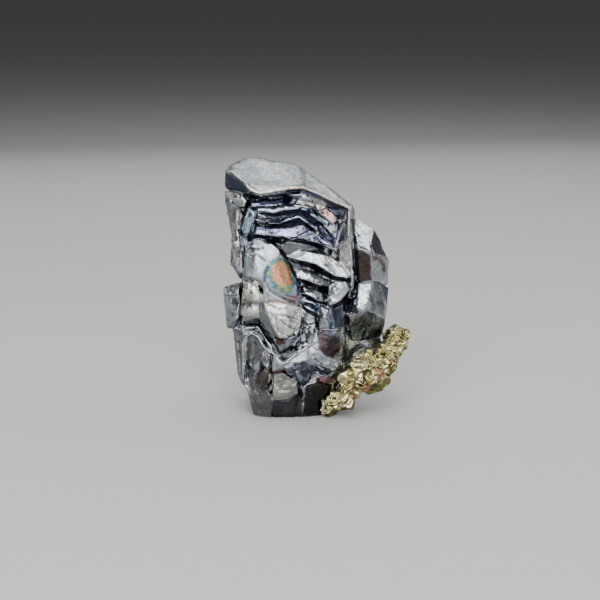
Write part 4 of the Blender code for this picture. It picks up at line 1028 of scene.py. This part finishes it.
def galena_material():
    """Lead-grey metal with satin growth faces, blue and brown tarnish and a patch of thin-film colour,
    with painted highlights on its edges and bright facets, and painted shade in its hollows, crevices,
    dark facets and undersides.
    """
    material, tree, shader = metal_material("galena")
    wander = scaled(tree, object_noise(tree, 1.4), -0.08, 0.08)
    base = ramp(tree, sum_of(tree, attribute(tree, "tone"), wander), GALENA_TONES)
    base = mix_colour(tree, scaled(tree, object_noise(tree, 1.1), 0.0, 0.3), base, (0.2, 0.26, 0.36, 1))
    # The tarnish with its painted highlights and painted shade.
    base = mix_colour(tree, attribute(tree, "tarnish_and_painted_light", "Alpha"), base, attribute(tree, "tarnish_and_painted_light", "Color"))
    patina_amount = mapped(tree, attribute(tree, "tarnish_and_painted_light", "Alpha"), To_Min=0.35, To_Max=1.0)
    for scale_mm, detail, stops in ((1.3, 6, PATINA), (0.35, 4, FINE_PATINA)):
        patina = ramp(tree, object_noise(tree, scale_mm, detail, roughness=0.7), stops)
        base = mix_colour(tree, patina_amount, base, patina, "MULTIPLY")
    coarse = scaled(tree, object_noise(tree, 0.7, detail=5, roughness=0.7), -0.16, 0.16)
    fine = scaled(tree, object_noise(tree, 0.25), -0.13, 0.13)
    thickness = sum_of(tree, sum_of(tree, attribute(tree, "film"), coarse), fine)
    film_amount = ramp(tree, attribute(tree, "film"), FILM_STRENGTH)
    base = mix_colour(tree, film_amount, base, ramp(tree, thickness, FILM_TONES))
    base = deepened(tree, base, 1.25)
    # Painted highlight on the raised edges and painted shade in the hollows.
    hollow = attribute(tree, "hollow")
    sunk = mapped(tree, hollow, From_Min=0.07, From_Max=0.35)
    raised = mapped(tree, hollow, From_Min=-0.04, From_Max=-0.2, To_Max=0.4)
    base = mix_colour(tree, raised, base, (0.78, 0.79, 0.82, 1))
    base = mix_colour(tree, sunk, base, (0.025, 0.028, 0.04, 1))
    # Painted shadow in the crevices.
    base = mix_colour(tree, attribute(tree, "shadow"), base, (0.012, 0.013, 0.018, 1))
    tree.links.new(base, shader.inputs["Base Color"])
    tree.links.new(mapped(tree, film_amount, To_Min=1.0, To_Max=0.6), shader.inputs["Metallic"])
    tree.links.new(scaled(tree, object_noise(tree, 0.5), 0.13, 0.3), shader.inputs["Roughness"])
    rough = bump(tree, object_noise(tree, 0.5, 4), 0.1, 0.6)
    tree.links.new(bump(tree, object_noise(tree, 0.14, 2), 0.025, 0.55, rough), shader.inputs["Normal"])
    return material


def chalcopyrite_material():
    """Pale brass with painted dark olive shade in its hollows and on its undersides, painted highlights on
    its edges, and a few coppery spots.
    """
    material, tree, shader = metal_material("chalcopyrite")
    wander = scaled(tree, object_noise(tree, 0.9), -0.25, 0.25)
    base = ramp(tree, sum_of(tree, attribute(tree, "tone"), wander), CHALCOPYRITE_TONES)
    base = deepened(tree, base, 1.2)
    base = mix_colour(tree, attribute(tree, "copper"), base, (0.4, 0.22, 0.13, 1))
    # Painted highlight on the raised edges and painted shade in the hollows, in dark olive.
    hollow = attribute(tree, "hollow")
    sunk = mapped(tree, hollow, From_Min=0.0, From_Max=0.1)
    raised = mapped(tree, hollow, From_Min=-0.03, From_Max=-0.14, To_Max=0.5)
    base = mix_colour(tree, raised, base, (0.95, 0.88, 0.6, 1))
    base = mix_colour(tree, sunk, base, (0.05, 0.04, 0.015, 1))
    tree.links.new(base, shader.inputs["Base Color"])
    tree.links.new(scaled(tree, object_noise(tree, 0.5), 0.12, 0.28), shader.inputs["Roughness"])
    tree.links.new(bump(tree, object_noise(tree, 0.2, 3), 0.03, 0.5), shader.inputs["Normal"])
    return material


def floor_material():
    material = bpy.data.materials.new("floor")
    material.use_nodes = True
    shader = material.node_tree.nodes["Principled BSDF"]
    shader.inputs["Base Color"].default_value = (0.52, 0.52, 0.51, 1)
    shader.inputs["Roughness"].default_value = 0.7
    return material


def finish_mesh(piece, material):
    """Takes the piece to metres and gives it its material."""
    piece.data.transform(Matrix.Scale(MM, 4))
    piece.data.materials.clear()
    piece.data.materials.append(material)
    piece.data.shade_smooth()


def make_camera():
    """The photo's view, for a square picture."""
    camera = bpy.data.cameras.new("camera")
    camera.sensor_width = SENSOR
    camera.lens = SENSOR * FOCAL_PIXELS / PHOTO_SIZE
    camera.clip_start = 0.005
    holder = bpy.data.objects.new("camera", camera)
    bpy.context.scene.collection.objects.link(holder)
    along = Vector((0, cos(VIEW_TILT), -sin(VIEW_TILT)))
    target = Vector((0, sin(VIEW_TILT), cos(VIEW_TILT))) * SIGHT_HEIGHT * MM
    holder.location = target - along * VIEW_DISTANCE * MM
    holder.rotation_euler = along.to_track_quat("-Z", "Y").to_euler()
    bpy.context.scene.camera = holder


# The soft lights: name, place and size in metres, and how bright the light's face looks.
LIGHTS = [
    ("top", (-0.02, 0.09, 0.22), (0.15, 0.13), 2.4),
    ("over", (-0.02, -0.05, 0.25), (0.18, 0.12), 3.6),
    ("back_right", (0.13, 0.17, 0.2), (0.1, 0.1), 2.2),
    ("front", (-0.06, -0.25, 0.23), (0.36, 0.16), 4.2),
    ("low_front", (0, -0.125, 0.016), (0.14, 0.033), 1.7),
    ("behind_camera", (0, -0.2, 0.065), (0.2, 0.08), 2.1),
    ("left", (-0.095, -0.15, 0.055), (0.08, 0.1), 3.0),
    ("right", (0.1, -0.15, 0.06), (0.07, 0.09), 2.4),
    ("right_top", (0.13, 0.035, 0.16), (0.09, 0.09), 3.4),
    ("glint", (0.02, -0.12, 0.2), (0.02, 0.02), 40),
    ("back", (-0.03, 0.2, 0.1), (0.3, 0.12), 0.8),
    ("right_side", (0.2, -0.05, 0.06), (0.11, 0.12), 1.3),
    ("back_left", (-0.2, 0.06, 0.08), (0.14, 0.12), 1.0),
]
LIGHTS_AIM = (0, 0, 0.015)
FLOOR_SIZE = 20


def make_light(name, place, size, brightness):
    """A soft light: its power follows from its size and from how bright its face looks."""
    light = bpy.data.lights.new(name, "AREA")
    light.shape = "RECTANGLE"
    light.size, light.size_y = size
    light.energy = pi * brightness * size[0] * size[1]
    holder = bpy.data.objects.new(name, light)
    holder.location = place
    aim = Vector(LIGHTS_AIM) - Vector(place)
    holder.rotation_euler = aim.to_track_quat("-Z", "Y").to_euler()
    bpy.context.scene.collection.objects.link(holder)


def make_studio():
    """Dim grey surroundings, the soft lights and a pale floor."""
    world = bpy.data.worlds.new("world")
    world.use_nodes = True
    background = world.node_tree.nodes["Background"]
    background.inputs["Color"].default_value = (0.5, 0.5, 0.5, 1)
    background.inputs["Strength"].default_value = 0.16
    bpy.context.scene.world = world
    for light in LIGHTS:
        make_light(*light)
    bpy.ops.mesh.primitive_plane_add(size=FLOOR_SIZE)
    floor = bpy.context.object
    floor.name = "floor"
    floor.data.materials.append(floor_material())


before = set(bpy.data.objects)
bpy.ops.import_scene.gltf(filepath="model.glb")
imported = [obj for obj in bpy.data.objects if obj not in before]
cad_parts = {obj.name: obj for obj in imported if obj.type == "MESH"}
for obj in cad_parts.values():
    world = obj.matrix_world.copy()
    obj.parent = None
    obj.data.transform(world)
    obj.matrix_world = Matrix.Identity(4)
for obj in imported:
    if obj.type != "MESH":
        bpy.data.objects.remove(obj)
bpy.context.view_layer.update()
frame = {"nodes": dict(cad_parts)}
make_camera()
make_studio()

galena = shape_galena(frame)
bright = paint_tarnish_and_light(galena)
paint_tone_and_shade(galena, rounds=30, bright=bright)
finish_mesh(galena, galena_material())
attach(galena, "root")
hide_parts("galena")

chalcopyrite = shape_chalcopyrite(frame)
paint_copper(chalcopyrite)
paint_tone_and_shade(chalcopyrite, rounds=24)
finish_mesh(chalcopyrite, chalcopyrite_material())
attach(chalcopyrite, "root")
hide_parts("chalcopyrite")
